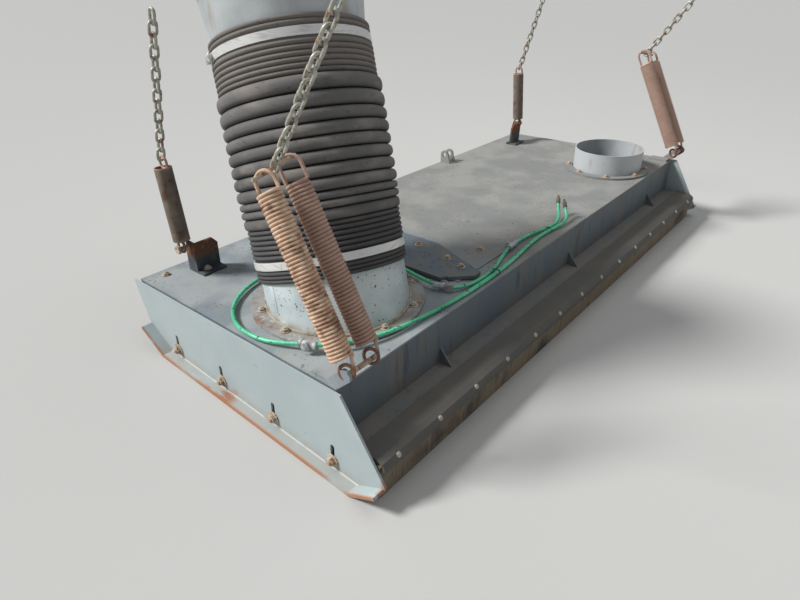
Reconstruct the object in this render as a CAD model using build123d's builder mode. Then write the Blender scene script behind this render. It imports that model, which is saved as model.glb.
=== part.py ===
# Suction pick-up head of a street sweeper truck, as it stands on the road between two sweeping runs:
# a low sheet-steel hood on two skid plates, closed front and rear by rubber flaps. Dirt is drawn up
# through a leaning corrugated hose near the left end. Springs and chains at the four corners carry
# part of its weight. +X is the truck's left side, -Y its front, and the road is Z = 0.
import os
from math import cos, dist, pi, radians, sin, tan

from build123d import *

os.makedirs("parts", exist_ok=True)

# Driving dimensions of the hood, in millimetres
MID_Y = 20                  # the middle between the flaps, from which depths are measured below, lies
                            # this far behind the origin, the middle of the whole head on the road
HEAD_LENGTH = 2134          # over the outer faces of the skid plates, 14 flap bolts of 6 inches
SHEET = 5                   # folded sheet of the hood
DUCT_SHEET = 4              # rolled sheet of the spigots and the duct
DECK_SLOPE = 3.3            # degrees, the rear edge stands higher
DECK_Z = 223.5              # top of the deck above the origin
DECK_FRONT_Y = -497
DECK_REAR_Y = 318
ON_DECK = 0.2               # what lies on the deck starts this far above it
LEDGE_Z = 106               # top of the low ledge behind the rear wall
LEDGE_SEAM_Y = 380          # where the flap strip begins on the ledge
SKIRT_Z = 48                # lower edge of the folded steel
FRONT_SKIRT_Y = -441        # outer faces of the folded skirts
REAR_SKIRT_Y = 437
FLAP_THICK = 10
FLAP_CLEAR_Z = 2            # the rubber ends this high above the road
FLAP_GAP = 0.3              # between a flap and its skirt
FLAP_INSET = 3              # a flap ends this far inside the skid plates

# Skid plates
SKID_THICK = 6
SKID_FOOT = 33              # width of the foot that is turned outwards
SKID_FOOT_THICK = 8
SLOT_WIDTH = 13
SLOT_LOW_Z = 23
SLOT_HIGH_Z = 74
BOLT_Z = 32
SLOT_YS = (-325, -116, 99.5, 310)
END_GAP = 7                 # between skid plate and end wall, filled by the slot bolts' spacers
BOLT_R = 6
WASHER_R = 19

# Suction line: a spigot, the hose and the duct lean forward and inward on one axis
SUCTION_X = 774
SUCTION_Y = 43
HOSE_LEAN_Y = 0.396         # forward run of the axis for each millimetre up
HOSE_LEAN_X = 0.156         # inward run for each millimetre up
SPIGOT_R = 191
SPIGOT_LENGTH = 165
BORE_REACH = 100            # half the length of the round cuts through the deck
FLANGE_R = 233
FLANGE_THICK = 8
HOSE_BORE_R = 191.5
HOSE_START = 86             # along the axis from the deck
CLAMP_WIDTH = 20
CLAMP_THICK = 2.5
DUCT_OVERLAP = 95           # of the duct inside the hose
DUCT_END = 820              # along the axis, just above what the photograph shows
DUCT_TOP_R = 208
DUCT_BOLT_R = 232
DUCT_FLANGE_R = 248

# Blast air inlet at the far end
BLAST_X = -765
BLAST_Y = 138
BLAST_R = 140
BLAST_HEIGHT = 90

# Suspension: springs on pins, chains above them, each lying in a plane across X
FRONT_X = 945
FRONT_PIN = (-418, 283)     # Y, Z
FRONT_LEAN = 7.6            # degrees forward
FRONT_SPRING = 248          # from the pin to the centre of the upper eye
FRONT_COIL_R = 19
TUBE_R = 24
TUBE_BORE_R = 21
TUBE_TOP = 236              # the tube's upper end, up the spring from the pin
REAR_X = 1007
REAR_PIN = (347, 293)
REAR_LEAN = 31.5
REAR_SPRING = 441           # from the pin to the toggle bar
REAR_COIL_R = 27
REAR_SPREAD = 37            # each spring's distance from the middle plane of its pair
WIRE_R = 4.5
EYE_R = 17                  # eyes on the pins, to the middle of the wire
LOOP_R = 19.5               # loops round the toggle bar
EYE_COIL = 3                # from an eye to the first turn of the coil
PIN_R = 6
SEAT_GAP = 0.4              # between a wire and what it pulls on
TOGGLE = (9, 5)             # width and thickness of the toggle bar
TOGGLE_LENGTH = 126
BRACKET_SHEET = 8
CHAIN_WIRE_R = 4
CHAIN_PITCH = 27
CHAIN_CLEAR = 0.5
LINK_HALF_WIDTH = 9.5       # to the middle of the bar
LINK_CORNER = 5.5
FRONT_CHAIN_LEAN = -13.8    # degrees, backwards
REAR_CHAIN_LEAN = -31.8
FRONT_LINKS = 14
REAR_LINKS = 14

# Drag link clevises at the deck's front edge
DRAG_X = 430
DRAG_PIN = (-476, 231)      # Y, Z
DRAG_BORE_R = 10
DRAG_EAR_R = 20
DRAG_EARS = (-22, 14)       # inner face of each ear from the clevis's middle, along X
DRAG_EAR_THICK = 8

LINE_R = 5.5                # the green tube on the deck
TEE_R = 9
TEE_GAP = 4                 # between a tee and the tube's end

SKID_X = HEAD_LENGTH / 2
END_WALL_X = SKID_X - SKID_THICK - END_GAP
SIDES = (("left", 1), ("right", -1))


def deck_z(y):
    """Top of the sloping deck at a given distance behind the middle."""
    return DECK_Z + y * tan(radians(DECK_SLOPE))


def finish(part, name):
    part.label = name
    export_step(part, f"parts/{name}.step")


def at(x, y, z):
    """A point given by its depth behind the middle between the flaps."""
    return Vector(x, MID_Y + y, z)


def leaning(pin, degrees_forward, distance):
    """Depth and height of a point, a distance from a pin up a line that leans forward."""
    a = radians(degrees_forward)
    return pin[0] - distance * sin(a), pin[1] + distance * cos(a)


deck_normal = (0, -sin(radians(DECK_SLOPE)), cos(radians(DECK_SLOPE)))
hose_axis = Vector(-HOSE_LEAN_X, -HOSE_LEAN_Y, 1).normalized()


def deck_plane(x, y):
    return Plane(origin=at(x, y, deck_z(y)), x_dir=(1, 0, 0), z_dir=deck_normal)


suction_foot = at(SUCTION_X, SUCTION_Y, deck_z(SUCTION_Y))
hose_plane = Plane(origin=suction_foot, x_dir=(1, 0, 0), z_dir=hose_axis)
hose_section = Plane(origin=suction_foot, x_dir=hose_plane.x_dir, z_dir=-hose_plane.y_dir)
SIDE_VIEW = Plane(origin=at(0, 0, 0), x_dir=(0, 1, 0), z_dir=(1, 0, 0))
ROAD = Plane(origin=at(0, 0, 0))


# The deck: one sloping sheet with a hole for each air spigot
with BuildPart() as deck:
    with BuildSketch(deck_plane(0, (DECK_REAR_Y + DECK_FRONT_Y) / 2)):
        Rectangle(2 * END_WALL_X, (DECK_REAR_Y - DECK_FRONT_Y) / cos(radians(DECK_SLOPE)))
    extrude(amount=-SHEET)
    with BuildSketch(deck_plane(BLAST_X, BLAST_Y)):
        Circle(BLAST_R - DUCT_SHEET)
    extrude(amount=-SHEET, mode=Mode.SUBTRACT)
    with BuildSketch(hose_plane.offset(-BORE_REACH)):
        Circle(SPIGOT_R - DUCT_SHEET)
    extrude(amount=2 * BORE_REACH, mode=Mode.SUBTRACT)
finish(deck.part, "deck")

# The rear wall drops to a ledge, runs back under the flap strip and turns down again
WALL_TOP_Z = deck_z(DECK_REAR_Y) - SHEET - 0.5
WALL_FOOT_Y = 327
with BuildPart() as rear_wall:
    with BuildSketch(SIDE_VIEW.offset(-END_WALL_X)):
        with BuildLine():
            Polyline(
                (DECK_REAR_Y - 0.5, WALL_TOP_Z),
                (WALL_FOOT_Y, LEDGE_Z),
                (REAR_SKIRT_Y, LEDGE_Z),
                (REAR_SKIRT_Y, SKIRT_Z),
                (REAR_SKIRT_Y - SHEET, SKIRT_Z),
                (REAR_SKIRT_Y - SHEET, LEDGE_Z - SHEET),
                (WALL_FOOT_Y - SHEET, LEDGE_Z - SHEET),
                (DECK_REAR_Y - SHEET - 0.5, WALL_TOP_Z),
                close=True,
            )
        make_face()
    extrude(amount=2 * END_WALL_X)
finish(rear_wall.part, "rear_wall")

# Inside, a baffle walls off the blast air: wide under its inlet, narrow beside the suction hole.
# The air leaves by a slot along the rear skirt
BAFFLE_FOOT = (408, 60)
BAFFLE_LIP_Z = 40
BAFFLE_ENDS = (
    # X, depth of the top edge, height of the fold
    (SHEET + 1 - END_WALL_X, -60, 148),
    (END_WALL_X - SHEET - 1, 300, 97),
)
with BuildPart() as blast_baffle:
    for x, top_y, fold_z in BAFFLE_ENDS:
        top_z = deck_z(top_y) - SHEET - 1
        foot_y, foot_z = BAFFLE_FOOT
        with BuildSketch(SIDE_VIEW.offset(x)):
            with BuildLine():
                Polyline(
                    (top_y, top_z),
                    (top_y + SHEET, top_z),
                    (top_y + SHEET, fold_z),
                    (foot_y, foot_z),
                    (foot_y, BAFFLE_LIP_Z),
                    (foot_y - SHEET, BAFFLE_LIP_Z),
                    (foot_y - SHEET, foot_z - 3.5),
                    (top_y, fold_z - 4),
                    close=True,
                )
            make_face()
    loft(ruled=True)
finish(blast_baffle.part, "blast_baffle")

# The front wall slopes in below the deck's front edge and carries the front flap
with BuildPart() as front_wall:
    with BuildSketch(SIDE_VIEW.offset(-END_WALL_X)):
        with BuildLine():
            Polyline(
                (DECK_FRONT_Y, deck_z(DECK_FRONT_Y) - SHEET - 0.5),
                (FRONT_SKIRT_Y, 112),
                (FRONT_SKIRT_Y, SKIRT_Z),
                (FRONT_SKIRT_Y + SHEET, SKIRT_Z),
                (FRONT_SKIRT_Y + SHEET, 113),
                (DECK_FRONT_Y + SHEET + 1, deck_z(DECK_FRONT_Y) - SHEET - 0.5),
                close=True,
            )
        make_face()
    extrude(amount=2 * END_WALL_X)
finish(front_wall.part, "front_wall")

# Rubber flaps hang front and rear, each clamped by a bolted steel strip
FLAPS = (
    # name, depth of the middle, top
    ("rear_flap", REAR_SKIRT_Y + FLAP_GAP + FLAP_THICK / 2, LEDGE_Z - 6),
    ("front_flap", FRONT_SKIRT_Y - FLAP_GAP - FLAP_THICK / 2, 100),
)
for name, y, top in FLAPS:
    with BuildPart() as flap:
        with BuildSketch(ROAD.offset(FLAP_CLEAR_Z)):
            with Locations((0, y)):
                Rectangle(2 * (SKID_X - SKID_THICK - FLAP_INSET), FLAP_THICK)
        extrude(amount=top - FLAP_CLEAR_Z)
    finish(flap.part, name)

with BuildPart() as rear_strip:
    with BuildSketch(SIDE_VIEW.offset(-END_WALL_X)):
        with BuildLine():
            Polyline(
                (LEDGE_SEAM_Y, LEDGE_Z + 0.3),
                (LEDGE_SEAM_Y, LEDGE_Z + 5.3),
                (436, LEDGE_Z + 4.5),
                (450, LEDGE_Z - 1),
                (457, LEDGE_Z - 11),
                (457, 80),
                (452, 80),
                (452, LEDGE_Z - 13),
                (447.6, LEDGE_Z - 6),
                (438, LEDGE_Z + 0.3),
                close=True,
            )
        make_face()
    extrude(amount=2 * END_WALL_X)
finish(rear_strip.part, "rear_strip")

with BuildPart() as front_strip:
    with BuildSketch(ROAD.offset(62)):
        with Locations((0, FRONT_SKIRT_Y - 2 * FLAP_GAP - FLAP_THICK - 3)):
            Rectangle(2 * END_WALL_X, 6)
    extrude(amount=36)
finish(front_strip.part, "front_strip")

# End walls close the hood, and skid plates with turned-out feet stand outside them
END_OUTLINE = ((-484, 184), (309, 230), (316, 98), (430, 98), (430, 30), (-431, 30), (-431, 112))
SKID_TOP = ((-511, 194), (340, 243), (469, 60))
SKID_FRONT_LOW = (-466, 57)
SKID_FRONT_BEND = (-368, 0)
SKID_REAR_BEND = (390, 0)
SKID_REAR_LOW = (469, 48)

for side, sign in SIDES:
    with BuildPart() as end_wall:
        with BuildSketch(SIDE_VIEW.offset(sign * END_WALL_X)):
            with BuildLine():
                Polyline(*END_OUTLINE, close=True)
            make_face()
            with Locations(*[(y, BOLT_Z) for y in SLOT_YS]):
                Circle(BOLT_R + 1, mode=Mode.SUBTRACT)
        extrude(amount=-sign * SHEET)
    finish(end_wall.part, f"end_wall_{side}")

    skid_inside = SIDE_VIEW.offset(sign * (SKID_X - SKID_THICK))
    with BuildPart() as skid:
        with BuildSketch(skid_inside):
            with BuildLine():
                Polyline(
                    *SKID_TOP,
                    SKID_REAR_LOW,
                    SKID_REAR_BEND,
                    SKID_FRONT_BEND,
                    SKID_FRONT_LOW,
                    close=True,
                )
            make_face()
            with Locations(*[(y, (SLOT_LOW_Z + SLOT_HIGH_Z) / 2) for y in SLOT_YS]):
                SlotOverall(SLOT_HIGH_Z - SLOT_LOW_Z + SLOT_WIDTH, SLOT_WIDTH, rotation=90,
                            mode=Mode.SUBTRACT)
        extrude(amount=sign * SKID_THICK)
        with BuildSketch(skid_inside):
            with BuildLine():
                Polyline(
                    SKID_FRONT_LOW,
                    SKID_FRONT_BEND,
                    SKID_REAR_BEND,
                    SKID_REAR_LOW,
                    (SKID_REAR_LOW[0] - 4, SKID_REAR_LOW[1] + 6),
                    (SKID_REAR_BEND[0] - 3, SKID_FOOT_THICK),
                    (SKID_FRONT_BEND[0] + 3, SKID_FOOT_THICK),
                    (SKID_FRONT_LOW[0] + 4, SKID_FRONT_LOW[1] + 6),
                    close=True,
                )
            make_face()
        extrude(amount=sign * (SKID_THICK + SKID_FOOT))
    finish(skid.part, f"skid_plate_{side}")

    BOLT_STEPS = (
        # start outside the skid plate, length outwards, radius, sides of its outline or 0 if round
        (0, 3, WASHER_R, 0),
        (3, 9, 12, 6),
        (0, -(SKID_THICK + END_GAP + SHEET + 8), BOLT_R, 0),
    )
    with BuildPart() as bolts:
        for start, length, radius, corners in BOLT_STEPS:
            with BuildSketch(SIDE_VIEW.offset(sign * (SKID_X + start))):
                with Locations(*[(y, BOLT_Z) for y in SLOT_YS]):
                    if corners:
                        RegularPolygon(radius, corners)
                    else:
                        Circle(radius)
            extrude(amount=sign * length)
    finish(bolts.part, f"skid_bolts_{side}")

# Suction spigot: a leaning tube in a round flange, cut to the slope of the deck
with BuildPart() as suction_flange:
    with BuildSketch(deck_plane(SUCTION_X, SUCTION_Y).offset(ON_DECK)):
        Circle(FLANGE_R)
    extrude(amount=FLANGE_THICK)
    with BuildSketch(hose_plane.offset(-BORE_REACH)):
        Circle(SPIGOT_R + 0.3)
    extrude(amount=2 * BORE_REACH, mode=Mode.SUBTRACT)
finish(suction_flange.part, "suction_flange")

with BuildPart() as suction_spigot:
    with BuildSketch(hose_plane.offset(-BORE_REACH)):
        Circle(SPIGOT_R)
        Circle(SPIGOT_R - DUCT_SHEET, mode=Mode.SUBTRACT)
    extrude(amount=BORE_REACH + SPIGOT_LENGTH)
    split(bisect_by=deck_plane(SUCTION_X, SUCTION_Y).offset(ON_DECK), keep=Keep.TOP)
finish(suction_spigot.part, "suction_spigot")

# The hose: fine ribs near the clamps and deep convolutions between them, from the deck up
HOSE_ZONES = (
    # ribs, pitch along the axis, root radius, crest radius, flat share of each crest
    (3, 10, 196, 200, 0),
    (1, 28, 197.5, 197.5, 1),
    (6, 12.5, 195.5, 201, 0),
    (1, 28, 196, 204, 0.6),
    (2, 20, 195.5, 207, 0.3),
    (6, 30.7, 195, 209, 0.4),
    (2, 37, 195, 209, 0.4),
    (6, 12.5, 195.5, 201, 0),
    (1, 28, 197.5, 197.5, 1),
    (2, 11, 196, 200, 0),
)
CLAMP_ZONES = (("lower_clamp", 1), ("upper_clamp", 8))


def zone_start(index):
    """Where a zone of the hose begins, along the axis. The index after the last gives its end."""
    return HOSE_START + sum(ribs * pitch for ribs, pitch, *_ in HOSE_ZONES[:index])


HOSE_END = zone_start(len(HOSE_ZONES))


def hose_outline():
    """Radius and distance up the axis for each corner of the hose's section."""
    points = [(HOSE_BORE_R, HOSE_START)]
    for index, (ribs, pitch, root, crest, flat) in enumerate(HOSE_ZONES):
        for rib in range(ribs):
            low = zone_start(index) + rib * pitch
            rise = (1 - flat) / 2 * pitch
            points += [(root, low), (crest, low + rise), (crest, low + pitch - rise), (root, low + pitch)]
    points.append((HOSE_BORE_R, HOSE_END))
    return [p for p, following in zip(points, points[1:] + points[:1]) if dist(p, following) > 0.01]


with BuildPart() as suction_hose:
    with BuildSketch(hose_section):
        with BuildLine():
            Polyline(*hose_outline(), close=True)
        make_face()
    revolve(axis=Axis(suction_foot, hose_axis))
finish(suction_hose.part, "suction_hose")

for name, index in CLAMP_ZONES:
    seat_width, seat_r = HOSE_ZONES[index][1:3]
    with BuildPart() as clamp:
        with BuildSketch(hose_plane.offset(zone_start(index) + (seat_width - CLAMP_WIDTH) / 2)):
            Circle(seat_r + 0.3 + CLAMP_THICK)
            Circle(seat_r + 0.3, mode=Mode.SUBTRACT)
        extrude(amount=CLAMP_WIDTH)
    finish(clamp.part, name)

# The duct above the hose: a round stub inside it, then a slow flare to a bolted flange
CONE_START = HOSE_END + 6
with BuildPart() as suction_duct:
    with BuildSketch(hose_section):
        with BuildLine():
            Polyline(
                (SPIGOT_R, HOSE_END - DUCT_OVERLAP),
                (SPIGOT_R, CONE_START),
                (DUCT_TOP_R, DUCT_END),
                (DUCT_TOP_R - DUCT_SHEET, DUCT_END),
                (SPIGOT_R - DUCT_SHEET, CONE_START),
                (SPIGOT_R - DUCT_SHEET, HOSE_END - DUCT_OVERLAP),
                close=True,
            )
        make_face()
    revolve(axis=Axis(suction_foot, hose_axis))
finish(suction_duct.part, "suction_duct")

with BuildPart() as duct_flange:
    with BuildSketch(hose_plane.offset(DUCT_END + 0.2)):
        Circle(DUCT_FLANGE_R)
        Circle(DUCT_TOP_R - DUCT_SHEET, mode=Mode.SUBTRACT)
        with PolarLocations(DUCT_BOLT_R, 12):
            Circle(BOLT_R, mode=Mode.SUBTRACT)
    extrude(amount=FLANGE_THICK)
finish(duct_flange.part, "duct_flange")

# Blast air inlet: an open spigot at the far end
with BuildPart() as blast_flange:
    with BuildSketch(deck_plane(BLAST_X, BLAST_Y).offset(ON_DECK)):
        Circle(BLAST_R + 32)
        Circle(BLAST_R + 3, mode=Mode.SUBTRACT)
    extrude(amount=FLANGE_THICK)
finish(blast_flange.part, "blast_flange")

with BuildPart() as blast_spigot:
    with BuildSketch(deck_plane(BLAST_X, BLAST_Y).offset(ON_DECK)):
        Circle(BLAST_R)
        Circle(BLAST_R - DUCT_SHEET, mode=Mode.SUBTRACT)
    extrude(amount=BLAST_HEIGHT)
finish(blast_spigot.part, "blast_spigot")


def chain_link(plane, middle):
    """One link: a hexagonal bar round a long octagon, its middle a distance up the plane's Y."""
    half = CHAIN_PITCH / 2 + CHAIN_WIRE_R - CHAIN_CLEAR / 2
    side = LINK_HALF_WIDTH
    end = side - LINK_CORNER
    with BuildPart() as link:
        with BuildLine(plane):
            Polyline(
                (-side, middle - half + LINK_CORNER),
                (-side, middle + half - LINK_CORNER),
                (-end, middle + half),
                (end, middle + half),
                (side, middle + half - LINK_CORNER),
                (side, middle - half + LINK_CORNER),
                (end, middle - half),
                (-end, middle - half),
                close=True,
            )
        with BuildSketch(Plane(origin=plane.from_local_coords((-side, middle, 0)),
                               x_dir=plane.x_dir, z_dir=plane.y_dir)):
            RegularPolygon(CHAIN_WIRE_R, 6)
        sweep(transition=Transition.RIGHT)
    return link.part


def chain(x, foot, lean, first_across, start, count):
    """A row of links that begins a distance up from a point, turned a quarter from one to the next."""
    a = radians(lean)
    up = Vector(0, -sin(a), cos(a))
    links = []
    for i in range(count):
        across = Vector(1, 0, 0) if (i % 2 == 0) == first_across else Vector(0, cos(a), sin(a))
        plane = Plane(origin=at(x, *foot), x_dir=across, z_dir=across.cross(up))
        links.append(chain_link(plane, start + (i + 0.5) * CHAIN_PITCH))
    return Compound(children=links)


def eye(x, centre, radius):
    """A closed eye of hexagonal wire, standing in a plane across X."""
    middle = at(x, *centre)
    with BuildPart() as ring:
        with BuildSketch(Plane(origin=middle, x_dir=(0, 1, 0), z_dir=(0, 0, 1))):
            with Locations((radius, 0)):
                RegularPolygon(WIRE_R, 6)
        revolve(axis=Axis(middle, (1, 0, 0)))
    return ring.part


def spring(x, pin, lean, coil_r, upper_eye, upper_r):
    """A closed coil as one round body, with a neck of wire out to an eye at each end."""
    a = radians(lean)
    along = Plane(origin=at(x, *pin), x_dir=(1, 0, 0), z_dir=(0, -sin(a), cos(a)))
    lower_eye = EYE_R - WIRE_R - PIN_R - SEAT_GAP
    neck_start = lower_eye + EYE_R
    neck_end = upper_eye - upper_r
    coil_start = neck_start + WIRE_R + EYE_COIL
    with BuildPart() as body:
        with BuildSketch(along.offset(coil_start)):
            Circle(coil_r)
        extrude(amount=neck_end - WIRE_R - EYE_COIL - coil_start)
        with BuildSketch(along.offset(neck_start)):
            RegularPolygon(WIRE_R, 6)
        extrude(amount=neck_end - neck_start)
        add(eye(x, leaning(pin, lean, lower_eye), EYE_R))
        add(eye(x, leaning(pin, lean, upper_eye), upper_r))
    return body.part


# Front corners: a folded bracket with a pin, and one spring in a tube under its chain
BRACKET_IN_X = 850
BRACKET_OUT_X = 929
BRACKET_HIGH = 96           # above the deck
BRACKET_Y = -400            # front face of its cross plate
FRONT_PIN_LENGTH = 28
for side, sign in SIDES:
    base_z = deck_z(BRACKET_Y)
    with BuildPart() as front_bracket:
        with BuildSketch(Plane(origin=at(0, BRACKET_Y + BRACKET_SHEET, 0), x_dir=(1, 0, 0), z_dir=(0, -1, 0))):
            with BuildLine():
                Polyline(
                    (sign * BRACKET_IN_X, base_z - 1),
                    (sign * BRACKET_IN_X, base_z + BRACKET_HIGH - 18),
                    (sign * (BRACKET_IN_X + 16), base_z + BRACKET_HIGH),
                    (sign * BRACKET_OUT_X, base_z + BRACKET_HIGH),
                    (sign * BRACKET_OUT_X, base_z - 1),
                    close=True,
                )
            make_face()
        extrude(amount=BRACKET_SHEET)
        with BuildSketch(SIDE_VIEW.offset(sign * (BRACKET_OUT_X - BRACKET_SHEET))):
            with BuildLine():
                Polyline(
                    (BRACKET_Y, base_z - 1),
                    (BRACKET_Y, base_z + BRACKET_HIGH),
                    (BRACKET_Y - 30, base_z + BRACKET_HIGH),
                    (BRACKET_Y - 36, base_z + 70),
                    (BRACKET_Y - 36, base_z - 1),
                    close=True,
                )
            make_face()
        extrude(amount=sign * BRACKET_SHEET)
        with BuildSketch(ROAD.offset(base_z - 1)):
            with Locations((sign * (BRACKET_IN_X + BRACKET_OUT_X) / 2, BRACKET_Y + 12)):
                Rectangle(BRACKET_OUT_X - BRACKET_IN_X, 56)
        extrude(amount=BRACKET_SHEET + 1)
        split(bisect_by=deck_plane(0, 0).offset(ON_DECK), keep=Keep.TOP)
    finish(front_bracket.part, f"front_bracket_{side}")

    pin_start = BRACKET_OUT_X + 0.3
    with BuildPart() as front_pin:
        with BuildSketch(SIDE_VIEW.offset(sign * pin_start)):
            with Locations(FRONT_PIN):
                Circle(PIN_R)
        extrude(amount=sign * FRONT_PIN_LENGTH)
        with BuildSketch(SIDE_VIEW.offset(sign * (pin_start + FRONT_PIN_LENGTH))):
            with Locations(FRONT_PIN):
                RegularPolygon(13, 6)
        extrude(amount=sign * 10)
    finish(front_pin.part, f"front_pin_{side}")

    front_x = sign * FRONT_X
    a = radians(FRONT_LEAN)
    tube_plane = Plane(origin=at(front_x, *FRONT_PIN), x_dir=(1, 0, 0), z_dir=(0, -sin(a), cos(a)))
    with BuildPart() as tube:
        with BuildSketch(tube_plane.offset(PIN_R + 18)):
            Circle(TUBE_R)
            Circle(TUBE_BORE_R, mode=Mode.SUBTRACT)
        extrude(amount=TUBE_TOP - PIN_R - 18)
    finish(tube.part, f"front_spring_tube_{side}")
    finish(spring(front_x, FRONT_PIN, FRONT_LEAN, FRONT_COIL_R, FRONT_SPRING, EYE_R),
           f"front_spring_{side}")
    finish(chain(front_x, leaning(FRONT_PIN, FRONT_LEAN, FRONT_SPRING), FRONT_CHAIN_LEAN, True,
                 EYE_R - WIRE_R - SEAT_GAP - CHAIN_CLEAR / 2, FRONT_LINKS), f"front_chain_{side}")

# Rear corners: a lug with a long pin, two springs side by side under one toggle bar, and a chain
LUG_OUTLINE = ((334, 303), (341, 308), (353, 308), (362, 299), (362, 287))
LUG_X = 1057                # outer face of the lug
LUG_FOOT = (235, 312)       # depths between which its foot lies on the deck
REAR_PIN_LENGTH = 92
for side, sign in SIDES:
    with BuildPart() as rear_bracket:
        with BuildSketch(SIDE_VIEW.offset(sign * LUG_X)):
            with BuildLine():
                Polyline((275, deck_z(275)), *LUG_OUTLINE, (DECK_REAR_Y, deck_z(DECK_REAR_Y)), close=True)
            make_face()
        extrude(amount=-sign * BRACKET_SHEET)
        with BuildSketch(SIDE_VIEW.offset(sign * (LUG_X - BRACKET_SHEET))):
            with BuildLine():
                Polyline(
                    (LUG_FOOT[0], deck_z(LUG_FOOT[0]) + ON_DECK),
                    (LUG_FOOT[0], deck_z(LUG_FOOT[0]) + BRACKET_SHEET),
                    (LUG_FOOT[1], deck_z(LUG_FOOT[1]) + BRACKET_SHEET),
                    (LUG_FOOT[1], deck_z(LUG_FOOT[1]) + ON_DECK),
                    close=True,
                )
            make_face()
        extrude(amount=-sign * 45)
    finish(rear_bracket.part, f"rear_bracket_{side}")

    with BuildPart() as rear_pin:
        with BuildSketch(SIDE_VIEW.offset(sign * (LUG_X - BRACKET_SHEET - 0.3))):
            with Locations(REAR_PIN):
                Circle(PIN_R)
        extrude(amount=-sign * REAR_PIN_LENGTH)
    finish(rear_pin.part, f"rear_pin_{side}")

    rear_x = sign * REAR_X
    loop_centre = REAR_SPRING - (LOOP_R - WIRE_R - TOGGLE[1] / 2 - 1)
    pair = [spring(rear_x + offset_x, REAR_PIN, REAR_LEAN, REAR_COIL_R, loop_centre, LOOP_R)
            for offset_x in (-REAR_SPREAD, REAR_SPREAD)]
    finish(Compound(children=pair), f"rear_springs_{side}")

    a = radians(REAR_LEAN)
    toggle_at = leaning(REAR_PIN, REAR_LEAN, REAR_SPRING)
    with BuildPart() as toggle:
        with BuildSketch(Plane(origin=at(rear_x - TOGGLE_LENGTH / 2, *toggle_at),
                               x_dir=(0, cos(a), sin(a)), z_dir=(1, 0, 0))):
            RectangleRounded(*TOGGLE, 2)
        extrude(amount=TOGGLE_LENGTH)
    finish(toggle.part, f"toggle_bar_{side}")
    finish(chain(rear_x, toggle_at, REAR_CHAIN_LEAN, False, -5.3, REAR_LINKS), f"rear_chain_{side}")

# On the deck, a thin doubler plate and a tapered rib bolted over it
PANEL_OUTLINE = ((225, -150), (225, 243), (500, 243), (500, -150))
RIB_OUTLINE = ((345, -110), (345, 60), (430, 272), (460, 272), (530, 200), (530, -110))
for name, outline, height, thick in (("deck_panel", PANEL_OUTLINE, ON_DECK, 4),
                                     ("deck_rib", RIB_OUTLINE, 4.5, 10)):
    with BuildPart() as plate:
        with BuildSketch(deck_plane(0, 0).offset(height)):
            with BuildLine():
                Polyline(*outline, close=True)
            make_face()
        extrude(amount=thick)
    finish(plate.part, name)

# Small gussets stiffen the fold between the rear wall and its ledge
GUSSET_XS = (-808, -64, 680)
with BuildPart() as ledge_gussets:
    for x in GUSSET_XS:
        with BuildSketch(SIDE_VIEW.offset(x)):
            with BuildLine():
                Polyline((327.3, LEDGE_Z + 0.3), (366, LEDGE_Z + 0.3), (324.8, LEDGE_Z + 46), close=True)
            make_face()
        extrude(amount=SHEET)
finish(ledge_gussets.part, "ledge_gussets")

# Two clevises on the deck's front edge take a cross shaft, on which the drag links pull the head along
for side, sign in SIDES:
    pin_y, pin_z = DRAG_PIN
    with BuildPart() as drag_clevis:
        for offset_x in DRAG_EARS:
            with BuildSketch(SIDE_VIEW.offset(sign * DRAG_X + offset_x)):
                with BuildLine():
                    Polyline(
                        (pin_y + DRAG_EAR_R, pin_z),
                        (pin_y + 32, deck_z(pin_y + 32) + ON_DECK),
                        (pin_y - 18, deck_z(pin_y - 18) + ON_DECK),
                        (pin_y - DRAG_EAR_R, pin_z),
                        close=True,
                    )
                make_face()
                with Locations(DRAG_PIN):
                    Circle(DRAG_EAR_R)
                    Circle(DRAG_BORE_R, mode=Mode.SUBTRACT)
            extrude(amount=DRAG_EAR_THICK)
    finish(drag_clevis.part, f"drag_clevis_{side}")


def line_tube(name, route):
    """A tube along runs and arcs, each arc as large as its two runs allow."""
    points = [at(x, y, deck_z(y) + lift) for x, y, lift in route]
    radii = []
    for a, b, c in zip(points, points[1:], points[2:]):
        first = b - a
        second = c - b
        radii.append(0.45 * min(first.length, second.length) / tan(radians(first.get_angle(second) / 2)))
    with BuildPart() as tube:
        with BuildLine() as path:
            FilletPolyline(*points, radius=radii)
        with BuildSketch(Plane(origin=path.line @ 0, z_dir=path.line % 0)):
            RegularPolygon(LINE_R, 8)
        sweep()
    section = 8 * LINE_R ** 2 * sin(pi / 4) / 2
    share = tube.part.volume / (section * path.wires()[0].length)
    print(name, "length", round(path.wires()[0].length), "volume share", round(share, 3),
          "radii", [round(r) for r in radii])
    return tube.part


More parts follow.
